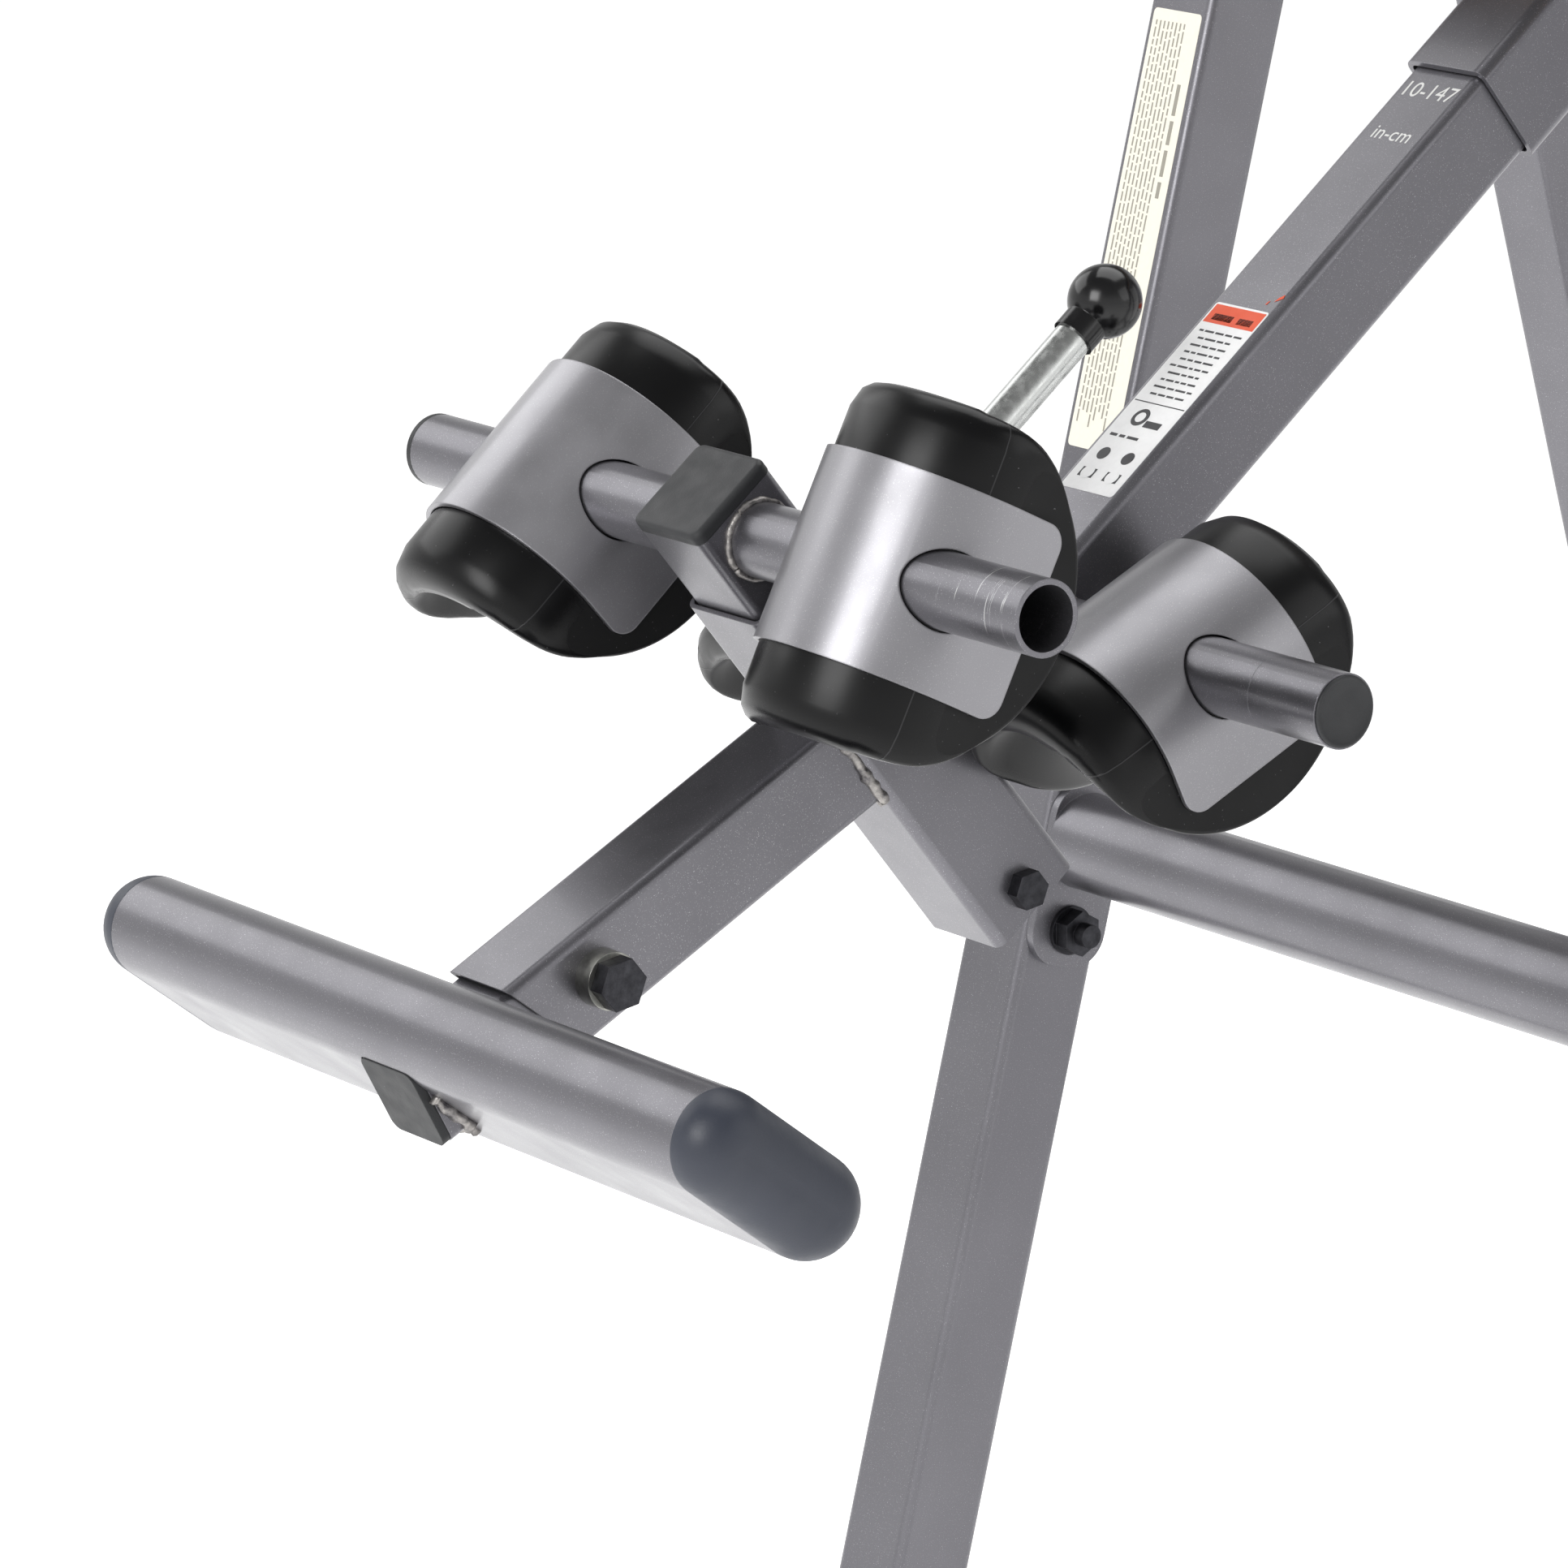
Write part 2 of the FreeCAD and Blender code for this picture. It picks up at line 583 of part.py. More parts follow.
def rear_frame_bolts():
    """The rear crossbar's bolts and the pivot bolts of the braces."""
    solids = []
    for _, side in SIDES:
        solids.append(crossbar_bolt(side, 1, REAR_CROSSBAR_Z, REAR_X))
        solids.append(brace_bolt(side))
    return Part.makeCompound(solids)


# ---- Bed --------------------------------------------------------------------------------
RAIL_P = RECEIVER / 2 + BED_TUBE / 2 + 0.05
RAIL_R = BED_TUBE / 2
ARM_X = (BED_RAIL_X + RAIL_R + 0.1, BED_RAIL_X + RAIL_R + 6.1)
ARM_BOLT_S = (-62.0, 62.0)
JOIN = 70.0                  # bow's straight ends reach this far from its cross run
ARM_HALF = 84.0
ARM_DEPTH = 36.0
PIN_HOLE_PITCH = 26.0        # user's choice of three pivot holes in each arm


def along_s(shape, s):
    """Turn a shape drawn along +Z to run along +s."""
    turned = move(shape, Vector(), Rotation(X_AXIS, -90))
    return move(turned, Vector(0, s, 0))


def receiver_tube():
    low, high = RECEIVER_S
    tube = along_s(square_tube(RECEIVER, RECEIVER_WALL, 0, high - low, 5.0), low)
    hole = x_rod(PIN_R + 0.08, 10, 40, SELECTOR_S, 0)
    return on_table(tube.cut(hole))


def bed_rail(side):
    low = BED_S[0] + JOIN
    high = BED_S[1] - JOIN
    centre = Vector(side * BED_RAIL_X, low, RAIL_P)
    tube = Part.makeCylinder(RAIL_R, high - low, centre, Y_AXIS)
    tube = tube.cut(Part.makeCylinder(RAIL_R - BED_TUBE_WALL, high - low, centre, Y_AXIS))
    holes = []
    for offset in ARM_BOLT_S:
        holes.append(side_rod(M8_HOLE, side, 150, 220, PIVOT_S + offset, RAIL_P))
    return on_table(tube.cut(Part.makeCompound(holes)))


def bed_bow(s_cross, inward):
    """End of the bed frame: a cross run with a bend at each side."""
    reach = s_cross + inward * JOIN
    points = [
        Vector(-BED_RAIL_X, reach, RAIL_P),
        Vector(-BED_RAIL_X, s_cross, RAIL_P),
        Vector(BED_RAIL_X, s_cross, RAIL_P),
        Vector(BED_RAIL_X, reach, RAIL_P),
    ]
    return on_table(bent_tube(points, BED_BEND, BED_TUBE, BED_TUBE_WALL))


def bed_crossbars():
    solids = []
    for s in BED_CROSS_S:
        tube = x_tube(RAIL_R, BED_TUBE_WALL, -BED_RAIL_X, BED_RAIL_X, s, RAIL_P)
        for _, side in SIDES:
            start = Vector(side * BED_RAIL_X, s - 40, RAIL_P)
            tube = tube.cut(Part.makeCylinder(RAIL_R + 0.05, 80, start, Y_AXIS))
        solids.append(on_table(tube))
    return Part.makeCompound(solids)


def slab(half_x, s_low, s_high, p_low, thickness, radius, edge):
    """Flat panel with round corners in the bed's plane."""
    face = rounded_face(2 * half_x, s_high - s_low, radius)
    panel = prism(face, p_low, thickness)
    if edge:
        panel = panel.makeFillet(edge, [e for e in panel.Edges if flat_edge(e)])
    return on_table(move(panel, Vector(0, (s_low + s_high) / 2, 0)))


def flat_edge(edge):
    """True for an edge that lies in a plane of constant Z."""
    return abs(edge.Vertexes[0].Point.z - edge.Vertexes[-1].Point.z) < 1e-6


def hinge_arm(side):
    """Steel arm bolted to the bed's side rail: carries the pivot pin in one of three holes."""
    low, high = span(side, *ARM_X)
    outline = rounded_face(2 * ARM_HALF, ARM_DEPTH, 15)
    plate = move(outline.extrude(Vector(0, 0, high - low)), Vector(), Rotation(Z_AXIS, 90))
    plate = move(plate, Vector(), Rotation(Y_AXIS, 90))
    plate = move(plate, Vector(low, PIVOT_S, RAIL_P + 1))
    holes = []
    for step in (-1, 0, 1):
        holes.append(x_rod(PIVOT_PIN_R + 0.1, low - 1, high + 1, PIVOT_S + PIN_HOLE_PITCH * step, PIVOT_P))
    for offset in ARM_BOLT_S:
        holes.append(x_rod(M8_HOLE, low - 1, high + 1, PIVOT_S + offset, RAIL_P))
    return on_table(plate.cut(Part.makeCompound(holes)))


def arm_bolts():
    solids = []
    for _, side in SIDES:
        for offset in ARM_BOLT_S:
            head_x = side * ARM_X[1]
            nut_x = side * (BED_RAIL_X - RAIL_R)
            solids.append(on_table(bolt(M8_R, 13, 5.5, head_x, nut_x, PIVOT_S + offset, RAIL_P, 2)))
    return Part.makeCompound(solids)


PIN_END_X = 297.0
BUSHING_X = (270.0, 296.0)


def pivot_pins():
    solids = []
    for _, side in SIDES:
        shank = side_rod(PIVOT_PIN_R, side, ARM_X[0], PIN_END_X, PIVOT_S, PIVOT_P)
        collar = side_rod(13, side, ARM_X[1], ARM_X[1] + 5, PIVOT_S, PIVOT_P)
        solids.append(on_table(fuse([shank, collar])))
    return Part.makeCompound(solids)


def pivot_bushings():
    solids = []
    for _, side in SIDES:
        ring = side_rod(BUSHING_R, side, *BUSHING_X, PIVOT_S, PIVOT_P)
        bore = side_rod(PIVOT_PIN_R + 0.05, side, *BUSHING_X, PIVOT_S, PIVOT_P)
        solids.append(on_table(ring.cut(bore)))
    return Part.makeCompound(solids)


# ---- Height selector --------------------------------------------------------------------
PIN_R = 5.0
SELECTOR_FACE = RECEIVER / 2
SELECTOR_LENGTH = 44.0
SELECTOR_KNOB_R = 17.0


def selector_housing():
    face = SELECTOR_FACE
    body = x_rod(12, face, face + SELECTOR_LENGTH, SELECTOR_S, 0)
    cavity = x_rod(9.6, face, face + SELECTOR_LENGTH - 4, SELECTOR_S, 0)
    bore = x_rod(PIN_R + 0.08, face, face + SELECTOR_LENGTH + 1, SELECTOR_S, 0)
    return on_table(body.cut(fuse([cavity, bore])))


def selector_pin():
    face = SELECTOR_FACE
    tip = SHAFT / 2 + 0.3
    shank = x_rod(PIN_R, tip, face + SELECTOR_LENGTH + 10, SELECTOR_S, 0)
    collar = x_rod(9, face + 10, face + 13, SELECTOR_S, 0)
    return on_table(fuse([shank, collar]))


def selector_spring():
    helix = coil(7.2, 0.9, 3.6, 21.6)
    turned = move(helix, Vector(), Rotation(Y_AXIS, 90))
    return on_table(move(turned, Vector(SELECTOR_FACE + 15, SELECTOR_S, 0)))


def selector_knob():
    start = SELECTOR_FACE + SELECTOR_LENGTH + 10
    stem = x_rod(9, start, start + 6, SELECTOR_S, 0)
    head = x_rod(SELECTOR_KNOB_R, start + 6, start + 22, SELECTOR_S, 0)
    head = head.makeFillet(5.0, [e for e in head.Edges if len(e.Vertexes) == 1])
    return on_table(fuse([stem, head]))


# ---- Height shaft and ankle clamp -------------------------------------------------------
SHAFT_FOOT_S = SLEEVE_S + SLEEVE / 2
SLEEVE_FOOT_S = SLEEVE_S - SLEEVE / 2
TUBE_R = ANKLE_TUBE / 2
TUBE_HOLE = TUBE_R + 0.1


def height_shaft():
    tube = along_s(square_tube(SHAFT, SHAFT_WALL, 0, SHAFT_TOP_S - SHAFT_FOOT_S), SHAFT_FOOT_S)
    holes = [x_rod(TUBE_HOLE, -40, 40, *REAR_TUBE)]
    for step in range(HOLE_COUNT):
        holes.append(x_rod(PIN_R + 0.3, 5, 40, SELECTOR_S + HOLE_PITCH * step, 0))
    return on_table(tube.cut(Part.makeCompound(holes)))


def square_plug(size, wall, lid, depth):
    """End plug for a square tube, drawn along +Z with the lid's underside at 0."""
    top = prism(rounded_face(size, size, 4.0), 0, lid)
    bore = size - 2 * wall - 0.4
    return fuse([top, prism(rounded_face(bore, bore, 1.5), -depth, depth)])


def upright(shape, p):
    """Stand a shape drawn along +Z on the sleeve's axis at height p."""
    return move(shape, Vector(0, SLEEVE_S, p))


def ankle_sleeve():
    low, high = SLEEVE_P
    tube = upright(square_tube(SLEEVE, SLEEVE_WALL, 0, high - low), low)
    stop = x_rod(M8_HOLE, -40, 40, SLEEVE_S, SLEEVE_STOP_P)
    pin = Part.makeCylinder(NOSE_R + 0.1, 20, Vector(0, SLEEVE_S + 10, LOCK_P), Y_AXIS)
    return on_table(tube.cut(Part.makeCompound([stop, pin])))


NOSE_R = 4.5
LOCK_R = 7.25
SLEEVE_STOP_P = -59.6
LOCK_HOUSING_END = 40.0
LOCK_KNOB_S = 147.0
KNOB_R = 13.75
NECK_S = 128.0


def stop_bolt():
    half = SLEEVE / 2
    return on_table(bolt(M8_R, 13, 5.5, half, -half, SLEEVE_S, SLEEVE_STOP_P, 1))


def s_rod(radius, s_from, s_to, p):
    return Part.makeCylinder(radius, s_to - s_from, Vector(0, s_from, p), Y_AXIS)


def lock_housing():
    body = s_rod(12, SHAFT_FOOT_S, LOCK_HOUSING_END, LOCK_P)
    cavity = s_rod(10.2, SHAFT_FOOT_S, LOCK_HOUSING_END - 4, LOCK_P)
    bore = s_rod(LOCK_R + 0.08, SHAFT_FOOT_S, LOCK_HOUSING_END + 1, LOCK_P)
    return on_table(body.cut(fuse([cavity, bore])))


def lock_pin():
    """Plated rod: a slim nose that enters the post, a spring collar and the long grip rod."""
    nose = s_rod(NOSE_R, SLEEVE_S + POST / 2 + 0.4, 12, LOCK_P)
    collar = s_rod(9.6, 9, 12, LOCK_P)
    grip = s_rod(LOCK_R, 12, NECK_S, LOCK_P)
    return on_table(fuse([nose, collar, grip]))


def lock_spring():
    helix = coil(8.7, 0.8, 3.6, 18.0)
    turned = move(helix, Vector(), Rotation(X_AXIS, -90))
    return on_table(move(turned, Vector(0, 13.5, LOCK_P)))


def lock_knob():
    ball = Part.makeSphere(KNOB_R, Vector(0, LOCK_KNOB_S, LOCK_P))
    neck = s_rod(8.4, NECK_S, LOCK_KNOB_S - 6, LOCK_P)
    return on_table(fuse([ball, neck]))


def arm_point(along):
    """Table s and p of a point of the footrest arm's line."""
    tilt = math.radians(LOWER_TUBE_TILT)
    s = LOWER_TUBE_ROOT[0] - along * math.cos(tilt)
    p = LOWER_TUBE_ROOT[1] + along * math.sin(tilt)
    return s, p


def arm_place(shape):
    """Put a shape drawn along +Z on the footrest arm's line."""
    return move(shape, Vector(0, *LOWER_TUBE_ROOT), Rotation(X_AXIS, 90 - LOWER_TUBE_TILT))


def footrest_place(shape):
    """Put a shape drawn in the footrest's own axes: X across, Y toe to heel, Z out of the sole."""
    turn = Rotation(X_AXIS, 90 + FOOTREST_TURN)
    return move(shape, Vector(0, *FOOTREST_CENTRE), turn)


def lower_tube():
    """Tube welded to the clamp's sleeve, with its far end cut parallel to the footrest."""
    start = 80.0
    tube = arm_place(square_tube(SHAFT, SHAFT_WALL, start, LOWER_TUBE_END + 40 - start))
    sleeve_side = Part.makeBox(200, 300, 400, Vector(-100, SLEEVE_FOOT_S, -200))
    cutter = Part.makeBox(200, 400, 400, Vector(-100, -400, -200))
    cutter = move(cutter, Vector(0, *arm_point(LOWER_TUBE_END)), Rotation(X_AXIS, FOOTREST_TURN))
    bolt_hole = x_rod(HINGE_BOLT_R + 0.1, -40, 40, *arm_point(FOOTREST_BOLT))
    return on_table(tube.cut(sleeve_side).cut(cutter).cut(bolt_hole))


def footrest_arm():
    low, high = FOOTREST_ARM_SPAN
    tube = arm_place(square_tube(FOOTREST_ARM, FOOTREST_WALL, low, high - low, 3.0))
    return on_table(tube.cut(x_rod(HINGE_BOLT_R + 0.1, -40, 40, *arm_point(FOOTREST_BOLT))))


def footrest_arm_cap():
    low, high = FOOTREST_ARM_SPAN
    plug = square_plug(FOOTREST_ARM, FOOTREST_WALL, 3.5, 12)
    return on_table(arm_place(move(plug, Vector(0, 0, high))))


def footrest_bolt():
    y, z = arm_point(FOOTREST_BOLT)
    half = SHAFT / 2
    return on_table(bolt(HINGE_BOLT_R, 17, 6.8, half + SPACER, -half, y, z, 2))


SPACER = 8.0


def footrest_spacer():
    y, z = arm_point(FOOTREST_BOLT)
    half = SHAFT / 2
    ring = x_rod(10.5, half, half + SPACER, y, z)
    return on_table(ring.cut(x_rod(HINGE_BOLT_R + 0.1, half - 1, half + SPACER + 1, y, z)))


def oval_face(depth, thickness):
    """Flat oval in the YZ plane: the depth lies along Y and the thickness along Z."""
    radius = thickness / 2
    reach = depth / 2 - radius
    head = Vector(0, reach, 0)
    heel = Vector(0, -reach, 0)
    up = Vector(0, 0, radius)
    out = Vector(0, radius, 0)
    edges = [
        Part.Arc(head - up, head + out, head + up).toShape(),
        Part.LineSegment(head + up, heel + up).toShape(),
        Part.Arc(heel + up, heel - out, heel - up).toShape(),
        Part.LineSegment(heel - up, head - up).toShape(),
    ]
    return Part.Face(Part.Wire(edges))


def footrest():
    """Flat oval tube across the arm, with a square window where the arm passes through."""
    start = Vector(-FOOTREST_HALF, 0, 0)
    outer = move(oval_face(FOOTREST_DEPTH, FOOTREST_THICKNESS), start)
    walls = 2 * FOOTREST_WALL_OVAL
    inner = move(oval_face(FOOTREST_DEPTH - walls, FOOTREST_THICKNESS - walls), start - X_AXIS)
    length = 2 * FOOTREST_HALF
    tube = outer.extrude(Vector(length, 0, 0)).cut(inner.extrude(Vector(length + 2, 0, 0)))
    window = arm_place(prism(rounded_face(FOOTREST_ARM + 0.2, FOOTREST_ARM + 0.2, 3.0), 250, 100))
    return on_table(footrest_place(tube).cut(window))


def footrest_cap(side):
    """Domed end cap of the footrest with a spigot inside the tube."""
    dome = oval_face(FOOTREST_DEPTH, FOOTREST_THICKNESS).extrude(Vector(FOOTREST_DOME, 0, 0))
    rim = [e for e in dome.Edges if min(v.Point.x for v in e.Vertexes) > FOOTREST_DOME - 0.01]
    dome = dome.makeFillet(FOOTREST_DOME - 1.0, rim)
    inset = 2 * (FOOTREST_WALL_OVAL + 0.2)
    spigot = oval_face(FOOTREST_DEPTH - inset, FOOTREST_THICKNESS - inset).extrude(Vector(-14, 0, 0))
    cap = fuse([dome, spigot])
    if side < 0:
        cap = move(cap, Vector(), Rotation(Z_AXIS, 180))
    return on_table(footrest_place(move(cap, Vector(side * FOOTREST_HALF, 0, 0))))


def rear_ankle_tube():
    half = ANKLE_TUBE_HALF - END_SLEEVE
    return on_table(x_tube(TUBE_R, ANKLE_TUBE_WALL, -half, half, *REAR_TUBE))


def rear_tube_ends():
    """Plastic end sleeves of the rear ankle tube."""
    half = ANKLE_TUBE_HALF - END_SLEEVE
    solids = []
    for _, side in SIDES:
        sleeve = side_rod(TUBE_R, side, half, ANKLE_TUBE_HALF, *REAR_TUBE)
        spigot = side_rod(TUBE_R - ANKLE_TUBE_WALL - 0.2, side, half - 18, half, *REAR_TUBE)
        solids.append(on_table(fuse([sleeve, spigot])))
    return Part.makeCompound(solids)


def ankle_post():
    low, high = POST_P
    tube = upright(square_tube(POST, POST_WALL, 0, high - low, 3.5), low)
    holes = [x_rod(TUBE_HOLE, -40, 40, *FRONT_TUBE)]
    for step in range(POST_HOLES):
        p = LOCK_P - POST_PITCH * step
        holes.append(Part.makeCylinder(NOSE_R + 0.4, 20, Vector(0, SLEEVE_S + 8, p), Y_AXIS))
    return on_table(tube.cut(Part.makeCompound(holes)))


def post_cap():
    plug = prism(rounded_face(POST + 0.6, POST + 0.6, 4.0), 0, 5)
    plug = plug.makeFillet(2.0, [e for e in plug.Edges if flat_edge(e) and e.Vertexes[0].Point.z > 4])
    bore = POST - 2 * POST_WALL - 0.4
    depth = max(POST_P[1] - FRONT_TUBE[1] - TUBE_R - 1, 1.0)
    plug = fuse([plug, prism(rounded_face(bore, bore, 1.5), -depth, depth)])
    return on_table(upright(plug, POST_P[1]))


def front_ankle_tube():
    return on_table(x_tube(TUBE_R, ANKLE_TUBE_WALL, -ANKLE_TUBE_HALF, ANKLE_TUBE_HALF, *FRONT_TUBE))


def front_tube_plug():
    """Thin plug in the left end of the front ankle tube."""
    end = -ANKLE_TUBE_HALF
    lid = x_rod(TUBE_R, end - 2.5, end, *FRONT_TUBE)
    spigot = x_rod(TUBE_R - ANKLE_TUBE_WALL - 0.2, end, end + 12, *FRONT_TUBE)
    return on_table(fuse([lid, spigot]))


# ---- Ankle pads -------------------------------------------------------------------------
def table_point(s, p):
    """World Y and Z of a point of the table's middle plane."""
    point = on_table(Part.Vertex(0, s, p)).Point
    return point.y, point.z


def pad_place(shape, name):
    """Carry a shape from pad axes (across, towards the head end, outward) to its tube."""
    x, turn = PAD_TUBE_X[name]
    tube = FRONT_TUBE if name.startswith("front") else REAR_TUBE
    y, z = table_point(*tube)
    return move(shape, Vector(x, y, z), Rotation(X_AXIS, turn))


def arch_face(radius, arm):
    """Half disc with straight arms, in the XZ plane: its bend is about the drop below the tube."""
    centre = Vector(0, 0, -PAD_DROP)
    crown = Vector(0, 0, radius)
    right = Vector(radius, 0, 0)
    foot = Vector(0, 0, -arm)
    edges = [
        Part.Arc(centre - right, centre + crown, centre + right).toShape(),
        Part.LineSegment(centre + right, centre + right + foot).toShape(),
        Part.LineSegment(centre + right + foot, centre - right + foot).toShape(),
        Part.LineSegment(centre - right + foot, centre - right).toShape(),
    ]
    return Part.Face(Part.Wire(edges))


def arch_block(radius, arm, half):
    return move(arch_face(radius, arm), Vector(0, -half, 0)).extrude(Vector(0, 2 * half, 0))


def pad_strap(name):
    """Bent steel strap over the pad, with round-cornered arms that the tube passes through."""
    half = STRAP_WIDTH / 2
    band = arch_block(STRAP_RADIUS, STRAP_ARM, half)
    inner = arch_block(STRAP_RADIUS - STRAP_THICKNESS, STRAP_ARM + 1, half + 1)
    band = band.cut(inner)
    foot = -PAD_DROP - STRAP_ARM
    height = STRAP_RADIUS - foot
    outline = rounded_face(2 * height, STRAP_WIDTH, STRAP_CORNER)
    side_form = move(outline.extrude(Vector(0, 0, 120)), Vector(0, 0, -60))
    side_form = move(side_form, Vector(0, 0, foot + height), Rotation(Y_AXIS, 90))
    band = band.common(side_form)
    return pad_place(band.cut(x_rod(TUBE_R + 0.7, -80, 80, 0, 0)), name)


def ankle_pad(name):
    """Moulded pad: a half-round block on the strap side and round cheeks on the ankle side."""
    radius = STRAP_RADIUS - STRAP_THICKNESS - 0.2
    block = arch_block(radius, 80, PAD_DISC)
    disc = x_rod(PAD_DISC, -60, 60, 0, PAD_DISC_RISE)
    front = Part.makeBox(120, 2 * PAD_DISC, 60, Vector(-60, -PAD_DISC, PAD_DISC_RISE))
    block = block.common(fuse([disc, front]))
    return pad_place(block.cut(x_rod(TUBE_R + 0.06, -80, 80, 0, 0)), name)


# ---- Assembly ---------------------------------------------------------------------------
def pair(build, *more):
    """Left and right copies of a piece as one group of separate solids."""
    return Part.makeCompound([build(side, *more) for _, side in SIDES])


def handle_plugs():
    solids = []
    for _, side in SIDES:
        line = handle_points(side)
        solids.append(handle_plug(line[0], line[1]))
        solids.append(handle_plug(line[-1], line[-2]))
    return Part.makeCompound(solids)


BOARD_P = RAIL_P + RAIL_R + 0.1
MAT_P = BOARD_P + BOARD_THICKNESS
PILLOW_P = MAT_P + MAT_THICKNESS + 0.2

nodes["front_legs"] = pair(front_leg)
nodes["front_leg_caps"] = pair(leg_cap, -1, LEG)
nodes["front_feet"] = pair(boot, -1, LEG)
nodes["front_crossbar"] = crossbar(-1, CROSSBAR_Z, CROSSBAR, LEG_IN)
nodes["pivot_brackets"] = pair(pivot_bracket)
nodes["handles"] = pair(handle)
nodes["handle_grips"] = pair(handle_grip)
nodes["handle_plugs"] = handle_plugs()
nodes["front_frame_bolts"] = front_frame_bolts()
nodes["brace_studs"] = brace_studs()
nodes["rear_legs"] = pair(rear_leg)
nodes["rear_leg_caps"] = pair(leg_cap, 1, LEG - 2 * PLAY)
nodes["rear_feet"] = pair(boot, 1, LEG - 2 * PLAY)
nodes["rear_crossbar"] = crossbar(1, REAR_CROSSBAR_Z, REAR_CROSSBAR, REAR_X)
nodes["rear_frame_bolts"] = rear_frame_bolts()
for name, side in SIDES:
    nodes["pivot_lock_" + name] = pivot_lock(side)
    nodes["brace_" + name] = brace(side)

nodes["receiver_tube"] = receiver_tube()
nodes["bed_rails"] = pair(bed_rail)
nodes["bed_bows"] = Part.makeCompound([bed_bow(BED_S[0], 1), bed_bow(BED_S[1], -1)])
nodes["bed_crossbars"] = bed_crossbars()
nodes["backrest_board"] = slab(MAT_HALF - 8, MAT_S[0] + 8, MAT_S[1] - 8, BOARD_P, BOARD_THICKNESS, 40, 0)
nodes["backrest_mat"] = slab(MAT_HALF, MAT_S[0], MAT_S[1], MAT_P, MAT_THICKNESS, 48, 10)
nodes["head_pillow"] = slab(140, MAT_S[1] - 190, MAT_S[1] - 30, PILLOW_P, 42, 40, 16)
nodes["hinge_arms"] = pair(hinge_arm)
nodes["arm_bolts"] = arm_bolts()
nodes["pivot_pins"] = pivot_pins()
nodes["pivot_bushings"] = pivot_bushings()
nodes["selector_housing"] = selector_housing()
nodes["selector_pin"] = selector_pin()
nodes["selector_spring"] = selector_spring()
nodes["selector_knob"] = selector_knob()

nodes["height_shaft"] = height_shaft()
nodes["ankle_sleeve"] = ankle_sleeve()
nodes["lower_tube"] = lower_tube()
nodes["lock_housing"] = lock_housing()
nodes["lock_pin"] = lock_pin()
nodes["lock_spring"] = lock_spring()
nodes["lock_knob"] = lock_knob()
nodes["footrest_arm"] = footrest_arm()
nodes["footrest_arm_cap"] = footrest_arm_cap()
nodes["shaft_bolts"] = Part.makeCompound([stop_bolt(), footrest_bolt()])
nodes["footrest_spacer"] = footrest_spacer()
nodes["footrest"] = footrest()
nodes["footrest_caps"] = pair(footrest_cap)
nodes["rear_ankle_tube"] = rear_ankle_tube()
nodes["rear_tube_ends"] = rear_tube_ends()
nodes["ankle_post"] = ankle_post()
nodes["front_ankle_tube"] = front_ankle_tube()
nodes["post_plugs"] = Part.makeCompound([post_cap(), front_tube_plug()])
for name in PAD_TUBE_X:
    nodes["pad_strap_" + name] = pad_strap(name)
    nodes["ankle_pad_" + name] = ankle_pad(name)

os.makedirs("parts", exist_ok=True)
for name, shape in nodes.items():
    shape.exportStep(os.path.join("parts", name + ".step"))

print(len(nodes), "nodes")
for name, shape in nodes.items():
    if not shape.isValid() or shape.Volume <= 0:
        print("not valid:", name, shape.Volume)
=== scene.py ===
import json
import math

import bmesh
import bpy
from mathutils import Matrix, Vector, noise


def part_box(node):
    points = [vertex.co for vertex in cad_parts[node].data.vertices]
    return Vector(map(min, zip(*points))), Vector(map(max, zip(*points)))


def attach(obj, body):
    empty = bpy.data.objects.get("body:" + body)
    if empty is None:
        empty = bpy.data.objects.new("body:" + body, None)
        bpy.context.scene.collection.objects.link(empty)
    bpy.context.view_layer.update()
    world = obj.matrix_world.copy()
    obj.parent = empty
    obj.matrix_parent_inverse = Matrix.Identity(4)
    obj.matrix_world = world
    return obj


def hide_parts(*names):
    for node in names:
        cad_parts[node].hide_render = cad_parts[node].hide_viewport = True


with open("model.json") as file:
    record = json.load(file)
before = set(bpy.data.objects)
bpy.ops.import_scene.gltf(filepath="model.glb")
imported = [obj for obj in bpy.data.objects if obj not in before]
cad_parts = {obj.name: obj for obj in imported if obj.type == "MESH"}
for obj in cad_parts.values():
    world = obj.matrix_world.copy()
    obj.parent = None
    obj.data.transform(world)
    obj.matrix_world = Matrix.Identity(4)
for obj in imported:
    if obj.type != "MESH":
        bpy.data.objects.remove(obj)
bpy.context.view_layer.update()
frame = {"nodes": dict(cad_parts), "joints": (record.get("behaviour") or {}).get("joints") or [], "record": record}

MM = 0.001
NODES = frame["nodes"]
JOINTS = {joint["name"]: joint for joint in frame["joints"]}
SLOT_OF = {part["node"]: part["material_slot"] for part in frame["record"]["subparts"]}
PAD_NAMES = ("front_left", "front_right", "rear_left", "rear_right")
SIDES = ((-1, "left"), (1, "right"))

# Sizes, and places in table axes, in millimetres, the same as in the CAD model.
PIVOT_S = 632.6              # pivot pins
PIVOT_P = 40.0
SHAFT_HALF = 19.0            # square height shaft
POST_HALF = 19.2             # square ankle post
SLEEVE_HALF = 21.5           # upright sleeve of the clamp
SLEEVE_S = -24.4
TUBE_R = 13.5                # ankle tubes
FRONT_TUBE = (SLEEVE_S, 125.0)
REAR_TUBE = (45.7, 3.6)
ARM_TILT = 11.05             # footrest arm from the shaft's line, in degrees
ARM_ROOT = (73.6, 6.8)       # a point of the arm's line
FOOTREST_CENTRE = (-222.4, 61.7)
FOOTREST_TURN = 13.4         # footrest face from square to the shaft, in degrees
LEG_HALF = 20.0              # square leg tube
LEG_LEAN = 13.9              # front leg from the vertical, in degrees

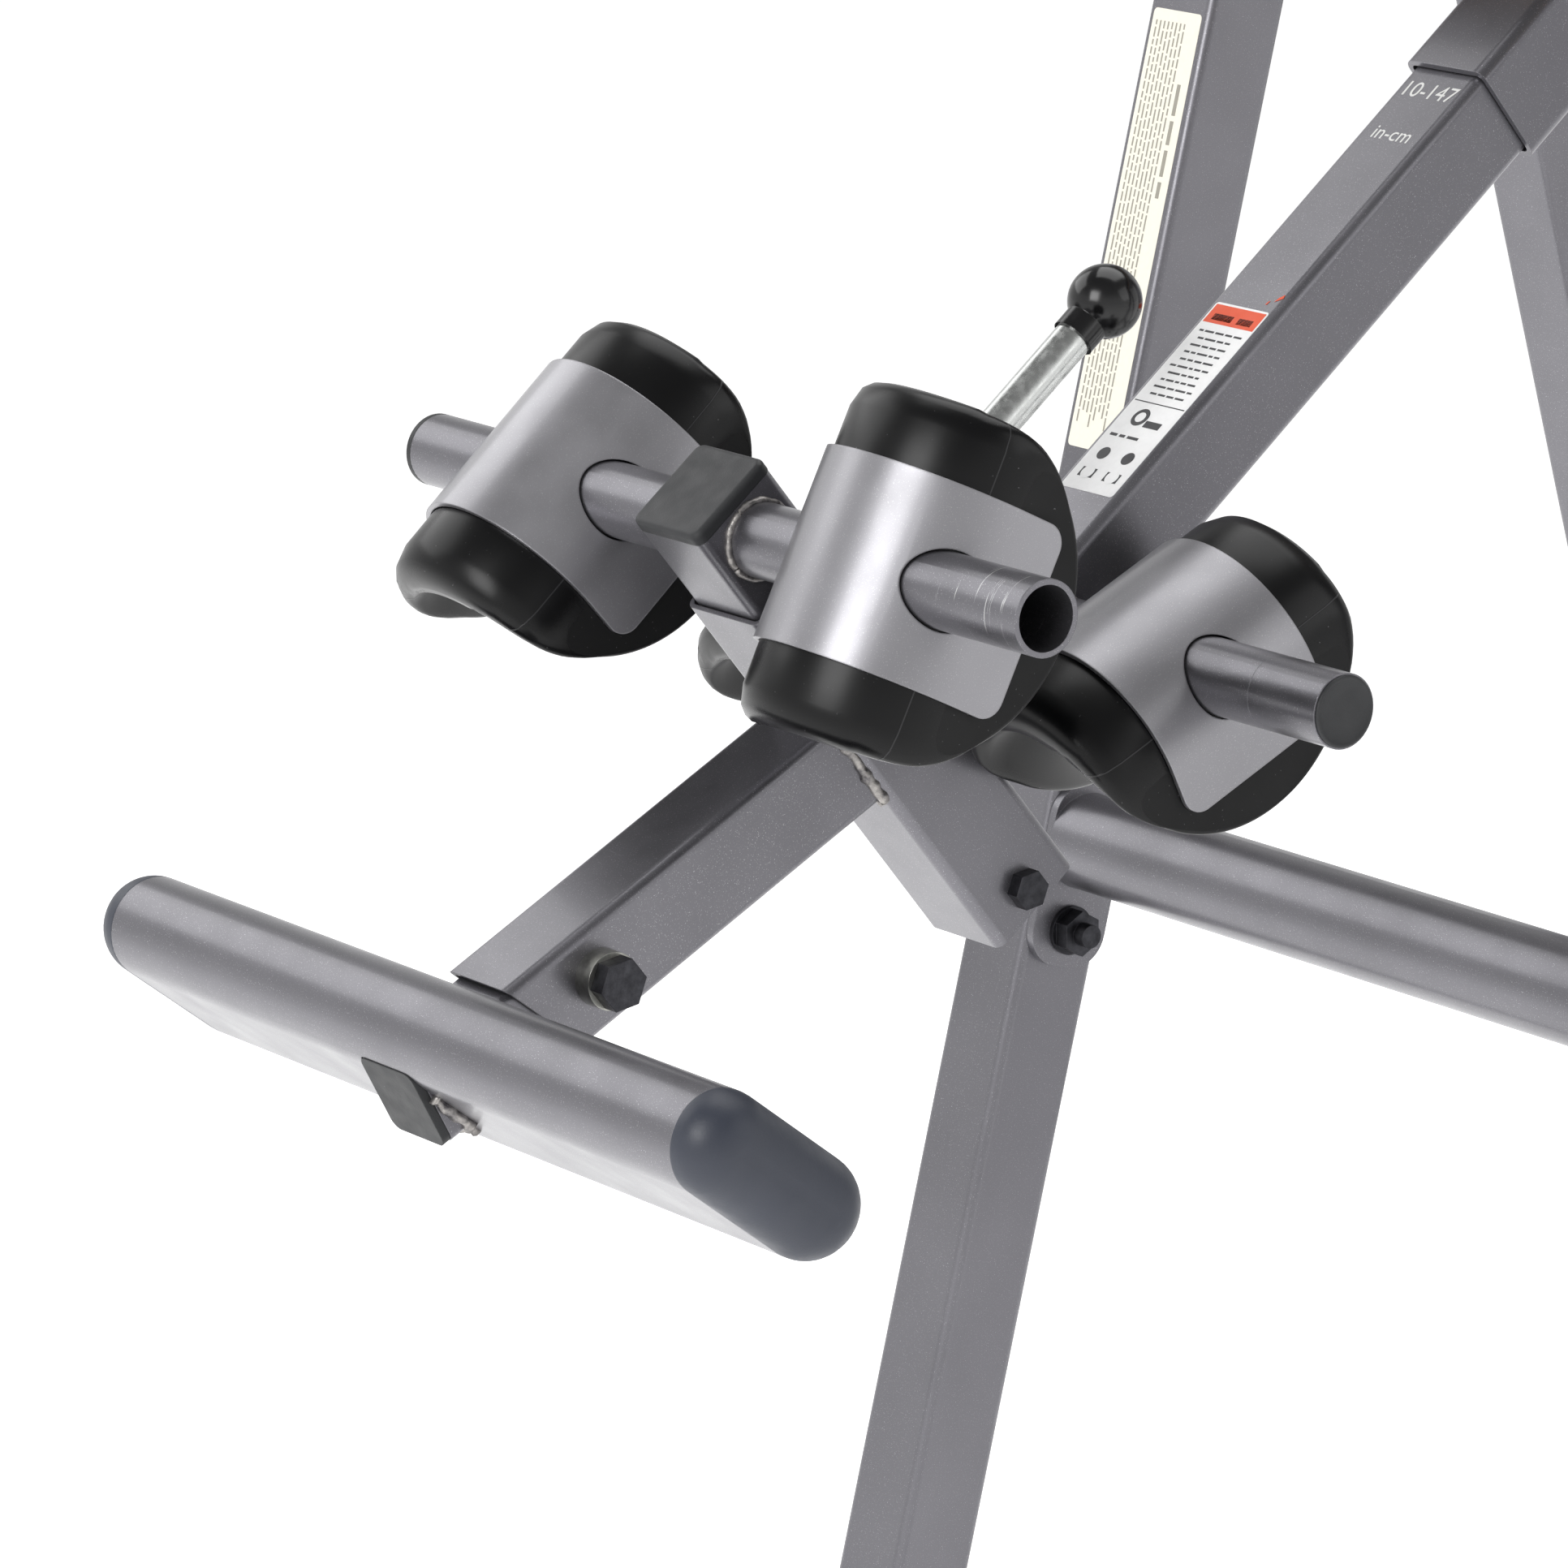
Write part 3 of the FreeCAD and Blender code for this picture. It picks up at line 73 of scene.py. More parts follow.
# The table's own axes at rest: x across, s along the shaft towards the head, p out of the bed.
ALONG = -Vector(JOINTS["height_slide"]["axis"])
OUT = Vector(JOINTS["post_slide"]["axis"])
ACROSS = Vector((1, 0, 0))
PIVOT = Vector(JOINTS["table_turn"]["pos_m"])
ORIGIN = PIVOT - ALONG * PIVOT_S * MM - OUT * PIVOT_P * MM


def table(x, s, p):
    """Place in the room of a point in table axes, in millimetres."""
    return ORIGIN + ACROSS * x * MM + ALONG * s * MM + OUT * p * MM


def basis(across, along, out, place):
    """Matrix whose columns are three axes and a place."""
    return Matrix((
        (across.x, along.x, out.x, place.x),
        (across.y, along.y, out.y, place.y),
        (across.z, along.z, out.z, place.z),
        (0, 0, 0, 1),
    ))


def table_matrix(x, s, p):
    """Matrix of the table's axes, moved to a point of the table."""
    return basis(ACROSS, ALONG, OUT, table(x, s, p))


# ---- Materials --------------------------------------------------------------------------
def linear(red, green, blue):
    """Scene colour of an 8-bit screen colour."""
    channels = []
    for value in (red, green, blue):
        share = value / 255
        low = share <= 0.04045
        channels.append(share / 12.92 if low else ((share + 0.055) / 1.055) ** 2.4)
    return (*channels, 1.0)


def shade(color, factor, extra=0.0):
    """Lighter or darker version of a scene colour."""
    return tuple(min(1.0, factor * channel + extra) for channel in color[:3]) + (1.0,)


class Look:
    """A node material that starts with one Principled shader."""

    def __init__(self, name, color, roughness, metallic=0.0):
        self.material = bpy.data.materials.new(name)
        self.material.use_nodes = True
        self.tree = self.material.node_tree
        self.shader = self.tree.nodes["Principled BSDF"]
        self.put("Base Color", color)
        self.put("Roughness", roughness)
        self.put("Metallic", metallic)
        self.coords = self.node("ShaderNodeTexCoord").outputs["Object"]

    def node(self, kind, **settings):
        made = self.tree.nodes.new(kind)
        for key, value in settings.items():
            setattr(made, key, value)
        return made

    def join(self, source, target):
        self.tree.links.new(source, target)

    def put(self, socket, value):
        self.shader.inputs[socket].default_value = value

    def mapped(self, scale=(1, 1, 1), rotation=(0, 0, 0)):
        turn = self.node("ShaderNodeMapping", vector_type="TEXTURE")
        turn.inputs["Rotation"].default_value = rotation
        turn.inputs["Scale"].default_value = scale
        self.join(self.coords, turn.inputs["Vector"])
        return turn.outputs["Vector"]

    def noise(self, scale, detail=2.0, roughness=0.5, vector=None):
        made = self.node("ShaderNodeTexNoise")
        made.inputs["Scale"].default_value = scale
        made.inputs["Detail"].default_value = detail
        made.inputs["Roughness"].default_value = roughness
        self.join(vector or self.coords, made.inputs["Vector"])
        return made.outputs["Fac"]

    def span(self, value, low, high, start, end):
        """Linear remap of a value, held inside its new range."""
        made = self.node("ShaderNodeMapRange")
        numbers = (("From Min", low), ("From Max", high), ("To Min", start), ("To Max", end))
        for socket, number in numbers:
            made.inputs[socket].default_value = number
        self.join(value, made.inputs["Value"])
        return made.outputs["Result"]

    def math(self, operation, first, second=None):
        made = self.node("ShaderNodeMath", operation=operation)
        for index, value in enumerate((first, second)):
            if value is None:
                continue
            if isinstance(value, (int, float)):
                made.inputs[index].default_value = value
            else:
                self.join(value, made.inputs[index])
        return made.outputs["Value"]

    def mix(self, factor, first, second):
        made = self.node("ShaderNodeMix", data_type="RGBA")
        for index, value in ((6, first), (7, second)):
            if isinstance(value, tuple):
                made.inputs[index].default_value = value
            else:
                self.join(value, made.inputs[index])
        self.join(factor, made.inputs[0])
        return made.outputs[2]

    def axis(self, name, vector=None):
        made = self.node("ShaderNodeSeparateXYZ")
        self.join(vector or self.coords, made.inputs["Vector"])
        return made.outputs[name]

    def rough(self, value):
        self.join(value, self.shader.inputs["Roughness"])

    def paint(self, value):
        self.join(value, self.shader.inputs["Base Color"])

    def bump(self, height, strength, distance, normal=None):
        made = self.node("ShaderNodeBump")
        made.inputs["Strength"].default_value = strength
        made.inputs["Distance"].default_value = distance
        self.join(height, made.inputs["Height"])
        if normal:
            self.join(normal, made.inputs["Normal"])
        self.join(made.outputs["Normal"], self.shader.inputs["Normal"])

    def soft_edges(self, radius):
        """Normal that rounds a hard edge over a radius."""
        made = self.node("ShaderNodeBevel", samples=4)
        made.inputs["Radius"].default_value = radius
        return made.outputs["Normal"]


def powder_coat(name, color, fleck, roughness=0.36, edge=0.6):
    """Metallic powder coat: fine light flecks, faint cloudiness and a slight orange peel."""
    look = Look(name, color, roughness, metallic=0.88)
    flecks = look.span(look.noise(2600, 1.0), 0.66, 0.74, 0.0, 0.55)
    clouds = look.span(look.noise(9, 3.0), 0.3, 0.7, 0.9, 1.12)
    tone = look.node("ShaderNodeHueSaturation")
    tone.inputs["Color"].default_value = color
    look.join(clouds, tone.inputs["Value"])
    look.paint(look.mix(flecks, tone.outputs["Color"], fleck))
    look.rough(look.span(look.noise(40, 4.0), 0.25, 0.75, roughness - 0.05, roughness + 0.07))
    look.bump(look.noise(1100, 2.0), 0.12, 0.00012, look.soft_edges(edge * MM))
    look.put("Coat Weight", 0.35)
    look.put("Coat Roughness", 0.16)
    return look


def add_rub_marks(look, start, end):
    """Pale scratches round a tube, between two places across the machine, in metres."""
    x = look.axis("X")
    inside = look.math("MULTIPLY", look.span(x, start, start + 0.004, 0, 1),
                       look.span(x, end - 0.003, end, 1, 0))
    lines = look.noise(1.0, 5.0, 0.7, look.mapped((0.0016, 0.05, 0.05)))
    patch = look.noise(60, 3.0)
    mark = look.math("MULTIPLY", look.span(lines, 0.6, 0.66, 0, 1), look.span(patch, 0.5, 0.6, 0, 1))
    mark = look.math("MULTIPLY", mark, inside)
    base = look.shader.inputs["Base Color"].links[0].from_socket
    look.paint(look.mix(mark, base, linear(205, 205, 205)))
    return look


def satin_black(name, tone, low, high, parting=None):
    """Moulded black foam skin with a soft sheen, a little dust and perhaps a parting line."""
    look = Look(name, linear(*tone), low)
    dust = look.span(look.noise(700, 2.0), 0.735, 0.78, 0.0, 0.3)
    colour = look.mix(dust, linear(*tone), linear(150, 150, 152))
    relief = look.span(look.noise(900, 3.0), 0.0, 1.0, 0.0, 0.12)
    if parting is not None:
        from_line = look.math("ABSOLUTE", look.math("SUBTRACT", look.axis("Z"), parting))
        line = look.span(from_line, 0.00012, 0.0003, 1.0, 0.0)
        colour = look.mix(look.math("MULTIPLY", line, 0.3), colour, linear(84, 84, 86))
        relief = look.math("ADD", relief, line)
    look.paint(colour)
    look.rough(look.span(look.noise(25, 4.0), 0.3, 0.7, low, high))
    look.bump(relief, 0.5, 0.0002)
    look.put("Specular IOR Level", 0.3)
    return look


def plated(name, tone, roughness, mottle):
    """Zinc or chrome plate, mottled."""
    look = Look(name, linear(*tone), roughness, metallic=1.0)
    patches = look.span(look.noise(180, 5.0, 0.7), 0.35, 0.65, 0.0, mottle)
    look.paint(look.mix(patches, linear(*tone), shade(linear(*tone), 0.45)))
    look.rough(look.span(look.noise(300, 4.0), 0.3, 0.7, roughness - 0.06, roughness + 0.12))
    look.bump(look.noise(700, 3.0), 0.1, 0.0001, look.soft_edges(0.3 * MM))
    return look


def moulded(name, tone, roughness, grain=0.2, edge=0.5):
    """Injection-moulded plastic."""
    look = Look(name, linear(*tone), roughness)
    clouds = look.span(look.noise(30, 3.0), 0.3, 0.7, 0.0, 0.25)
    look.paint(look.mix(clouds, linear(*tone), shade(linear(*tone), 1.6, 0.004)))
    look.rough(look.span(look.noise(120, 4.0), 0.3, 0.7, roughness - 0.05, roughness + 0.08))
    look.bump(look.noise(1400, 2.0), grain, 0.00015, look.soft_edges(edge * MM))
    return look


def woven(name, tone):
    """Tight woven nylon: two crossed wave patterns."""
    look = Look(name, linear(*tone), 0.75)
    threads = []
    for axis in ("X", "Y"):
        wave = look.node("ShaderNodeTexWave", bands_direction=axis)
        wave.inputs["Scale"].default_value = 260
        look.join(look.coords, wave.inputs["Vector"])
        threads.append(wave.outputs["Fac"])
    weave = look.math("MULTIPLY", *threads)
    look.paint(look.mix(weave, linear(*tone), shade(linear(*tone), 2.2)))
    look.rough(look.span(look.noise(14, 4.0), 0.3, 0.7, 0.68, 0.86))
    look.bump(weave, 0.5, 0.0004)
    look.put("Sheen Weight", 0.3)
    return look


def plywood(name):
    """Plain board with its grain along the bed."""
    look = Look(name, linear(150, 118, 84), 0.6)
    slope = math.atan2(ALONG.z, ALONG.y)
    grain = look.noise(1.0, 6.0, 0.6, look.mapped((0.012, 0.3, 0.012), (slope, 0, 0)))
    look.paint(look.mix(look.span(grain, 0.3, 0.7, 0, 1), linear(128, 96, 64), linear(176, 142, 104)))
    look.rough(look.span(grain, 0.3, 0.7, 0.5, 0.7))
    look.bump(grain, 0.2, 0.0003)
    return look


def spongy(name, tone):
    """Closed-cell foam of a hand grip."""
    look = Look(name, linear(*tone), 0.82)
    cells = look.node("ShaderNodeTexVoronoi")
    cells.inputs["Scale"].default_value = 900
    look.join(look.coords, cells.inputs["Vector"])
    pores = look.span(cells.outputs["Distance"], 0.0, 0.6, 0, 1)
    look.paint(look.mix(pores, linear(*tone), shade(linear(*tone), 2.5)))
    look.rough(look.span(look.noise(60, 3.0), 0.3, 0.7, 0.76, 0.9))
    look.bump(pores, 0.4, 0.0003)
    return look


def weld_bead(name):
    """Painted-over weld: silvery, lumpy and uneven."""
    look = Look(name, linear(120, 118, 116), 0.38, metallic=0.85)
    spots = look.noise(220, 5.0, 0.7)
    look.paint(look.mix(look.span(spots, 0.35, 0.65, 0, 1), linear(92, 90, 92), linear(176, 172, 168)))
    look.rough(look.span(spots, 0.3, 0.7, 0.3, 0.5))
    look.bump(look.noise(500, 4.0), 0.5, 0.0006)
    return look


COAT = linear(116, 115, 120)
FLECK = linear(206, 204, 206)
PAD_PARTING = -0.003         # parting line of a pad from its tube's axis, in metres
RUB_SPAN = (0.132, 0.1795)   # rubbed stretch of the front ankle tube, in metres across
LOOKS = {
    "frame_paint": powder_coat("frame_paint", COAT, FLECK),
    "black_paint": powder_coat("black_paint", linear(44, 44, 48), linear(90, 90, 95), 0.42),
    "black_bolt": plated("black_bolt", (70, 70, 74), 0.4, 0.8),
    "zinc": plated("zinc", (176, 176, 170), 0.34, 0.6),
    "strap_steel": powder_coat("strap_steel", linear(150, 149, 153), linear(205, 204, 207), 0.38, 0.8),
    "plated_rod": plated("plated_rod", (214, 216, 214), 0.22, 0.22),
    "spring_steel": plated("spring_steel", (150, 150, 150), 0.3, 0.5),
    "black_rubber": moulded("black_rubber", (26, 26, 27), 0.72, 0.35, 1.2),
    "pad_foam": satin_black("pad_foam", (4, 4, 5), 0.24, 0.34, parting=PAD_PARTING),
    "grip_foam": spongy("grip_foam", (24, 24, 25)),
    "black_plastic": moulded("black_plastic", (34, 35, 37), 0.5, 0.4, 1.0),
    "knob_plastic": moulded("knob_plastic", (14, 14, 15), 0.16, 0.05),
    "cap_plastic": moulded("cap_plastic", (47, 51, 62), 0.42, 0.3),
    "nylon": moulded("nylon", (205, 205, 196), 0.45),
    "mat_fabric": woven("mat_fabric", (26, 26, 28)),
    "board_wood": plywood("board_wood"),
}
PAD_CHEEK = satin_black("pad_cheek", (8, 8, 9), 0.5, 0.65)
WELD = weld_bead("weld")

for node_name, shown in NODES.items():
    shown.data.materials.clear()
    shown.data.materials.append(LOOKS[SLOT_OF[node_name]].material)

RUBBED = add_rub_marks(powder_coat("rubbed_coat", COAT, FLECK), *RUB_SPAN)
NODES["front_ankle_tube"].data.materials.clear()
NODES["front_ankle_tube"].data.materials.append(RUBBED.material)


# ---- Mesh helpers -----------------------------------------------------------------------
def make_object(name, points, faces, materials, matrix=Matrix.Identity(4), smooth=True):
    mesh = bpy.data.meshes.new(name)
    mesh.from_pydata([tuple(point) for point in points], [], faces)
    for polygon in mesh.polygons:
        polygon.use_smooth = smooth
    for material in materials:
        mesh.materials.append(material)
    made = bpy.data.objects.new(name, mesh)
    bpy.context.scene.collection.objects.link(made)
    made.matrix_world = matrix
    return made


def circle(steps):
    """Angles of evenly spaced points round a circle."""
    return [2 * math.pi * step / steps for step in range(steps)]


def rounded_outline(half_x, half_y, corner, steps):
    """Points round a rectangle with round corners, this many at each corner."""
    outline = []
    for way_x, way_y, start in ((1, 1, 0), (-1, 1, 90), (-1, -1, 180), (1, -1, 270)):
        for step in range(steps):
            angle = math.radians(start + 90 / (steps - 1) * step)
            x = way_x * (half_x - corner) + corner * math.cos(angle)
            y = way_y * (half_y - corner) + corner * math.sin(angle)
            outline.append((x, y))
    return outline


def loft(rings):
    """Quads between closed rings of equal length: returns points and faces."""
    count = len(rings[0])
    points = [point for ring in rings for point in ring]
    faces = []
    for row in range(len(rings) - 1):
        for column in range(count):
            following = (column + 1) % count
            low = row * count
            high = low + count
            faces.append((low + column, low + following, high + following, high + column))
    return points, faces


def capped(rings):
    """Loft with its two ends closed: the end faces are the last two."""
    points, faces = loft(rings)
    count = len(rings[0])
    faces.append(tuple(reversed(range(count))))
    faces.append(tuple(range(len(points) - count, len(points))))
    return points, faces


def mix(a, b, share):
    return a + (b - a) * share


# ---- Ankle pads -------------------------------------------------------------------------
PAD_HALF = 42.0            # half width across the cheeks, mm
PAD_DROP = 17.0            # bend centre below the tube
PAD_RISE = 3.8             # cheek centre above the tube
PAD_DISC = 62.0            # cheek radius
PAD_END = 62.6             # half length of the block
PAD_WAIST = 37.0           # radius of the saddle between the cheeks
PAD_SHELL = 19.0           # thickness of the block's overhanging ends
PAD_RIM = 3.0              # rounding where the saddle meets a cheek
PAD_ROUND = 13.0           # softness of the block's ends
PAD_FLARE = 2.2            # power of the saddle's rise towards the cheeks
PAD_INNER_BLEND = 9.0      # blend of the saddle into the block's back
PAD_OUTER_BLEND = 5.0      # blend of that hollow into the outline
PAD_REACH = 95.0           # further out than any point of the outline
PAD_RAYS = 104             # points round a section
PAD_SECTIONS = 48          # steps from cheek to cheek
OUTLINE_HALVINGS = 22      # steps of the search for the outline on one ray


def soft_max(a, b, width):
    """Greater of two distances, blended over a width."""
    share = max(0.0, 1.0 - abs(a - b) / width)
    return max(a, b) + share * share * width * 0.25


def soft_min(a, b, width):
    """Lesser of two distances, blended over a width."""
    return -soft_max(-a, -b, width)


def pad_section(x):
    """Outline of the pad at one place across it: (along, out) pairs about the tube."""
    edge = max(0.0, abs(x) - (PAD_HALF - PAD_RIM))
    shave = PAD_RIM - math.sqrt(max(0.0, PAD_RIM ** 2 - edge ** 2))
    disc = PAD_DISC - shave
    top = -PAD_DROP + math.sqrt(max(0.0, (PAD_HALF + 0.01) ** 2 - x * x))
    saddle = mix(PAD_WAIST, disc, (abs(x) / PAD_HALF) ** PAD_FLARE)

    def outside(along, out):
        """Distance outside the pad, below zero within it."""
        from_centre = math.hypot(along, out - PAD_RISE)
        ends = abs(along) - (PAD_END - shave)
        body = min(from_centre - disc, max(ends, PAD_RISE - out))
        hollow = soft_min(from_centre - saddle, top - PAD_SHELL - out, PAD_INNER_BLEND)
        return soft_max(soft_max(body, out - top, PAD_ROUND), hollow, PAD_OUTER_BLEND)

    centre = top - PAD_SHELL / 2
    outline = []
    for turn in circle(PAD_RAYS):
        angle = math.pi / 2 - turn
        inner = 0.0
        outer = PAD_REACH
        for _ in range(OUTLINE_HALVINGS):
            reach = (inner + outer) / 2
            if outside(reach * math.cos(angle), centre + reach * math.sin(angle)) < 0:
                inner = reach
            else:
                outer = reach
        outline.append((inner * math.cos(angle), centre + inner * math.sin(angle)))
    return outline


def pad_rings():
    """Sections from cheek to cheek, closer together at the rims."""
    rings = []
    for step in range(PAD_SECTIONS + 1):
        x = math.sin(math.pi * (step / PAD_SECTIONS - 0.5)) * PAD_HALF
        rings.append([Vector((x, along, out)) * MM for along, out in pad_section(x)])
    return rings


def ankle_pad(name):
    """Pad with a half-round front, a spool-shaped saddle behind and flat matte cheeks."""
    points, faces = capped(PAD_RINGS)
    joint = JOINTS[name + "_pad_turn"]
    centre, turn = pad_place(name)
    matrix = Matrix.Translation(centre) @ Matrix.Rotation(turn, 4, "X")
    materials = [LOOKS["pad_foam"].material, PAD_CHEEK.material]
    pad = make_object("pad_" + name, points, faces, materials, matrix)
    for polygon in pad.data.polygons[-2:]:
        polygon.material_index = 1
        polygon.use_smooth = False
    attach(pad, joint["child"])
    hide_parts("ankle_pad_" + name)


STRAP_CROWN = 0.004          # half width of the strip read from a strap's middle, in metres


def pad_place(name):
    """Centre of a pad on its tube and its turn, read from the crown of its strap."""
    strap = NODES["pad_strap_" + name]
    low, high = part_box("pad_strap_" + name)
    centre = Vector(JOINTS[name + "_pad_turn"]["pos_m"])
    centre.x = (low.x + high.x) / 2
    middle = Vector((0, 0, 0))
    near = [v.co for v in strap.data.vertices if abs(v.co.x - centre.x) < STRAP_CROWN]
    for point in near:
        middle += point
    middle /= len(near)
    return centre, math.atan2(-(middle.y - centre.y), middle.z - centre.z)


PAD_RINGS = pad_rings()
for pad_name in PAD_NAMES:
    ankle_pad(pad_name)


# ---- Welds ------------------------------------------------------------------------------
WELD_STEP = 0.9              # spacing of a bead's sections
WELD_LIFT = 0.4              # centre of a tube's bead off the two faces that it joins


def weld(name, body, path, radius, closed=True, lump=0.35):
    """Overlapping bead along a line of points in table axes, in millimetres."""
    places = [table(*point) for point in path]
    if closed:
        places.append(places[0])
    centres = []
    for start, end in zip(places, places[1:]):
        pieces = max(2, int((end - start).length / (WELD_STEP * MM)))
        centres += [start.lerp(end, step / pieces) for step in range(pieces)]
    centres.append(places[-1])
    rings = []
    for index, centre in enumerate(centres):
        before = centres[max(0, index - 1)]
        after = centres[min(len(centres) - 1, index + 1)]
        way = (after - before).normalized()
        side = way.orthogonal().normalized()
        lift = way.cross(side)
        ripple = 1.0 - 0.16 * abs(math.sin(index * 0.55))
        ring = []
        for angle in circle(10):
            spoke = side * math.cos(angle) + lift * math.sin(angle)
            rough = 1.0 + lump * noise.noise((centre + spoke * 0.002) * 230)
            ring.append(centre + spoke * radius * MM * ripple * rough)
        rings.append(ring)
    points, faces = capped(rings)
    bead = make_object(name, points, faces, [WELD.material])
    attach(bead, body)


def tube_weld(name, body, face, place, radius):
    """Bead round an ankle tube where it leaves the square tube that it runs through."""
    s, p = place
    reach = TUBE_R + WELD_LIFT
    path = [(face, s + reach * math.cos(angle), p + reach * math.sin(angle)) for angle in circle(28)]
    weld(name, body, path, radius)


def square_path(s, low, high):
    """Line round a square tube as wide as the shaft, at one place along it."""
    return [(-SHAFT_HALF, s, low), (SHAFT_HALF, s, low), (SHAFT_HALF, s, high), (-SHAFT_HALF, s, high)]


for sign, side in SIDES:
    tube_weld("weld_front_tube_" + side, "post", sign * (POST_HALF + WELD_LIFT), FRONT_TUBE, radius=1.5)
    tube_weld("weld_rear_tube_" + side, "shaft", sign * (SHAFT_HALF + WELD_LIFT), REAR_TUBE, radius=1.4)
sleeve_foot = SLEEVE_S - SLEEVE_HALF
sleeve_head = SLEEVE_S + SLEEVE_HALF
arm_tilt = math.radians(ARM_TILT)
arm_p = ARM_ROOT[1] + (ARM_ROOT[0] - sleeve_foot) * math.tan(arm_tilt)
arm_reach = SHAFT_HALF / math.cos(arm_tilt)
arm_path = square_path(sleeve_foot, arm_p - arm_reach, arm_p + arm_reach)
weld("weld_arm", "shaft", arm_path, radius=2.3, lump=0.7)
weld("weld_shaft", "shaft", square_path(sleeve_head, -SHAFT_HALF, SHAFT_HALF), radius=1.8)


def footrest_point(x, toe, sole):
    """Place in table axes of a point in the footrest's own axes."""
    turn = math.radians(90 + FOOTREST_TURN)
    s = FOOTREST_CENTRE[0] + toe * math.cos(turn) - sole * math.sin(turn)
    p = FOOTREST_CENTRE[1] + toe * math.sin(turn) + sole * math.cos(turn)
    return x, s, p


SOLE = 19.6                  # centre of the beads on the sole, from the footrest's middle
LUMP_STEPS = 6
CROSSWISE = 0.0              # ways that a bead runs on the sole, as angles in radians
TOEWISE = 1.57
SOLE_WELDS = (               # middle across and towards the toe, length and way of each bead
    (-16.4, 4.0, 24.0, TOEWISE),
    (0.0, 18.4, 26.0, CROSSWISE),
    (16.4, 6.0, 20.0, TOEWISE),
    (-3.0, -12.5, 22.0, CROSSWISE),
)


def weld_lump(name, x, toe, length, turn):
    """Short heavy bead on the sole, beside the arm's end."""
    line = []
    for step in range(LUMP_STEPS + 1):
        share = step / LUMP_STEPS - 0.5
        across = x + length * share * math.cos(turn)
        ahead = toe + length * share * math.sin(turn)
        line.append(footrest_point(across, ahead, SOLE))
    weld(name, "shaft", line, radius=2.6, closed=False, lump=0.9)


for number, bead_shape in enumerate(SOLE_WELDS):
    weld_lump("weld_sole_%d" % number, *bead_shape)


# ---- Printed labels and the height scale ------------------------------------------------
def printed(name, tone, roughness=0.45):
    """Printed ink or label stock, slightly worn."""
    look = Look(name, linear(*tone), roughness)
    wear = look.span(look.noise(400, 4.0), 0.3, 0.7, 0.0, 0.25)
    look.paint(look.mix(wear, linear(*tone), shade(linear(*tone), 0.82)))
    look.rough(look.span(look.noise(90, 3.0), 0.3, 0.7, roughness - 0.08, roughness + 0.1))
    return look


PAPER = printed("label_paper", (240, 240, 240))
CREAM = printed("label_cream", (242, 238, 224))
INK = printed("label_ink", (40, 40, 44))
GREY_INK = printed("label_grey_ink", (158, 154, 142))
ORANGE = printed("label_orange", (226, 84, 44))
WHITE_INK = printed("scale_ink", (228, 228, 226))


class Print:
    """Thin marks on one flat label, in its own millimetres."""

    def __init__(self):
        self.points = []
        self.faces = []
        self.inks = []

    def polygon(self, outline, ink, height):
        start = len(self.points)
        self.points += [Vector((u, v, height)) * MM for u, v in outline]
        self.faces.append(tuple(range(start, len(self.points))))
        self.inks.append(ink)

    def bar(self, u, v, width, height, ink, level=0.16):
        self.polygon(((u, v), (u + width, v), (u + width, v + height), (u, v + height)), ink, level)

    def disc(self, u, v, radius, ink, level=0.16):
        outline = [(u + radius * math.cos(angle), v + radius * math.sin(angle)) for angle in circle(24)]
        self.polygon(outline, ink, level)

    def sheet(self, width, height, corner, ink):
        """Label stock with round corners and a visible edge."""
        outline = rounded_outline(width / 2, height / 2, corner, 6)
        self.polygon(outline, ink, 0.12)
        low = len(self.points)
        self.points += [Vector((u, v, 0.0)) * MM for u, v in outline]
        top = low - len(outline)
        for index in range(len(outline)):
            after = (index + 1) % len(outline)
            self.faces.append((low + index, low + after, top + after, top + index))
            self.inks.append(ink)

    def text_line(self, u, v, length, size, ink, seed):
        """Row of word-like dashes."""
        at = u
        index = 0
        thick = size * 0.55
        while at < u + length - size:
            chance = abs(noise.noise(Vector((seed * 3.1, index * 1.7, 0.4))))
            width = min(size * (1.2 + 5.2 * chance), u + length - at)
            self.bar(at, v, width, thick, ink)
            at += width + thick
            index += 1

    def make(self, name, inks, matrix, body):
        made = make_object(name, self.points, self.faces, [ink.material for ink in inks], matrix, False)
        for polygon, ink in zip(made.data.polygons, self.inks):
            polygon.material_index = ink
        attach(made, body)


SHAFT_LABEL_S = 144.5        # middle of the notice on the shaft
LEG_LABEL_HEIGHT = 0.91      # middle of the leg's notice above the floor, in metres


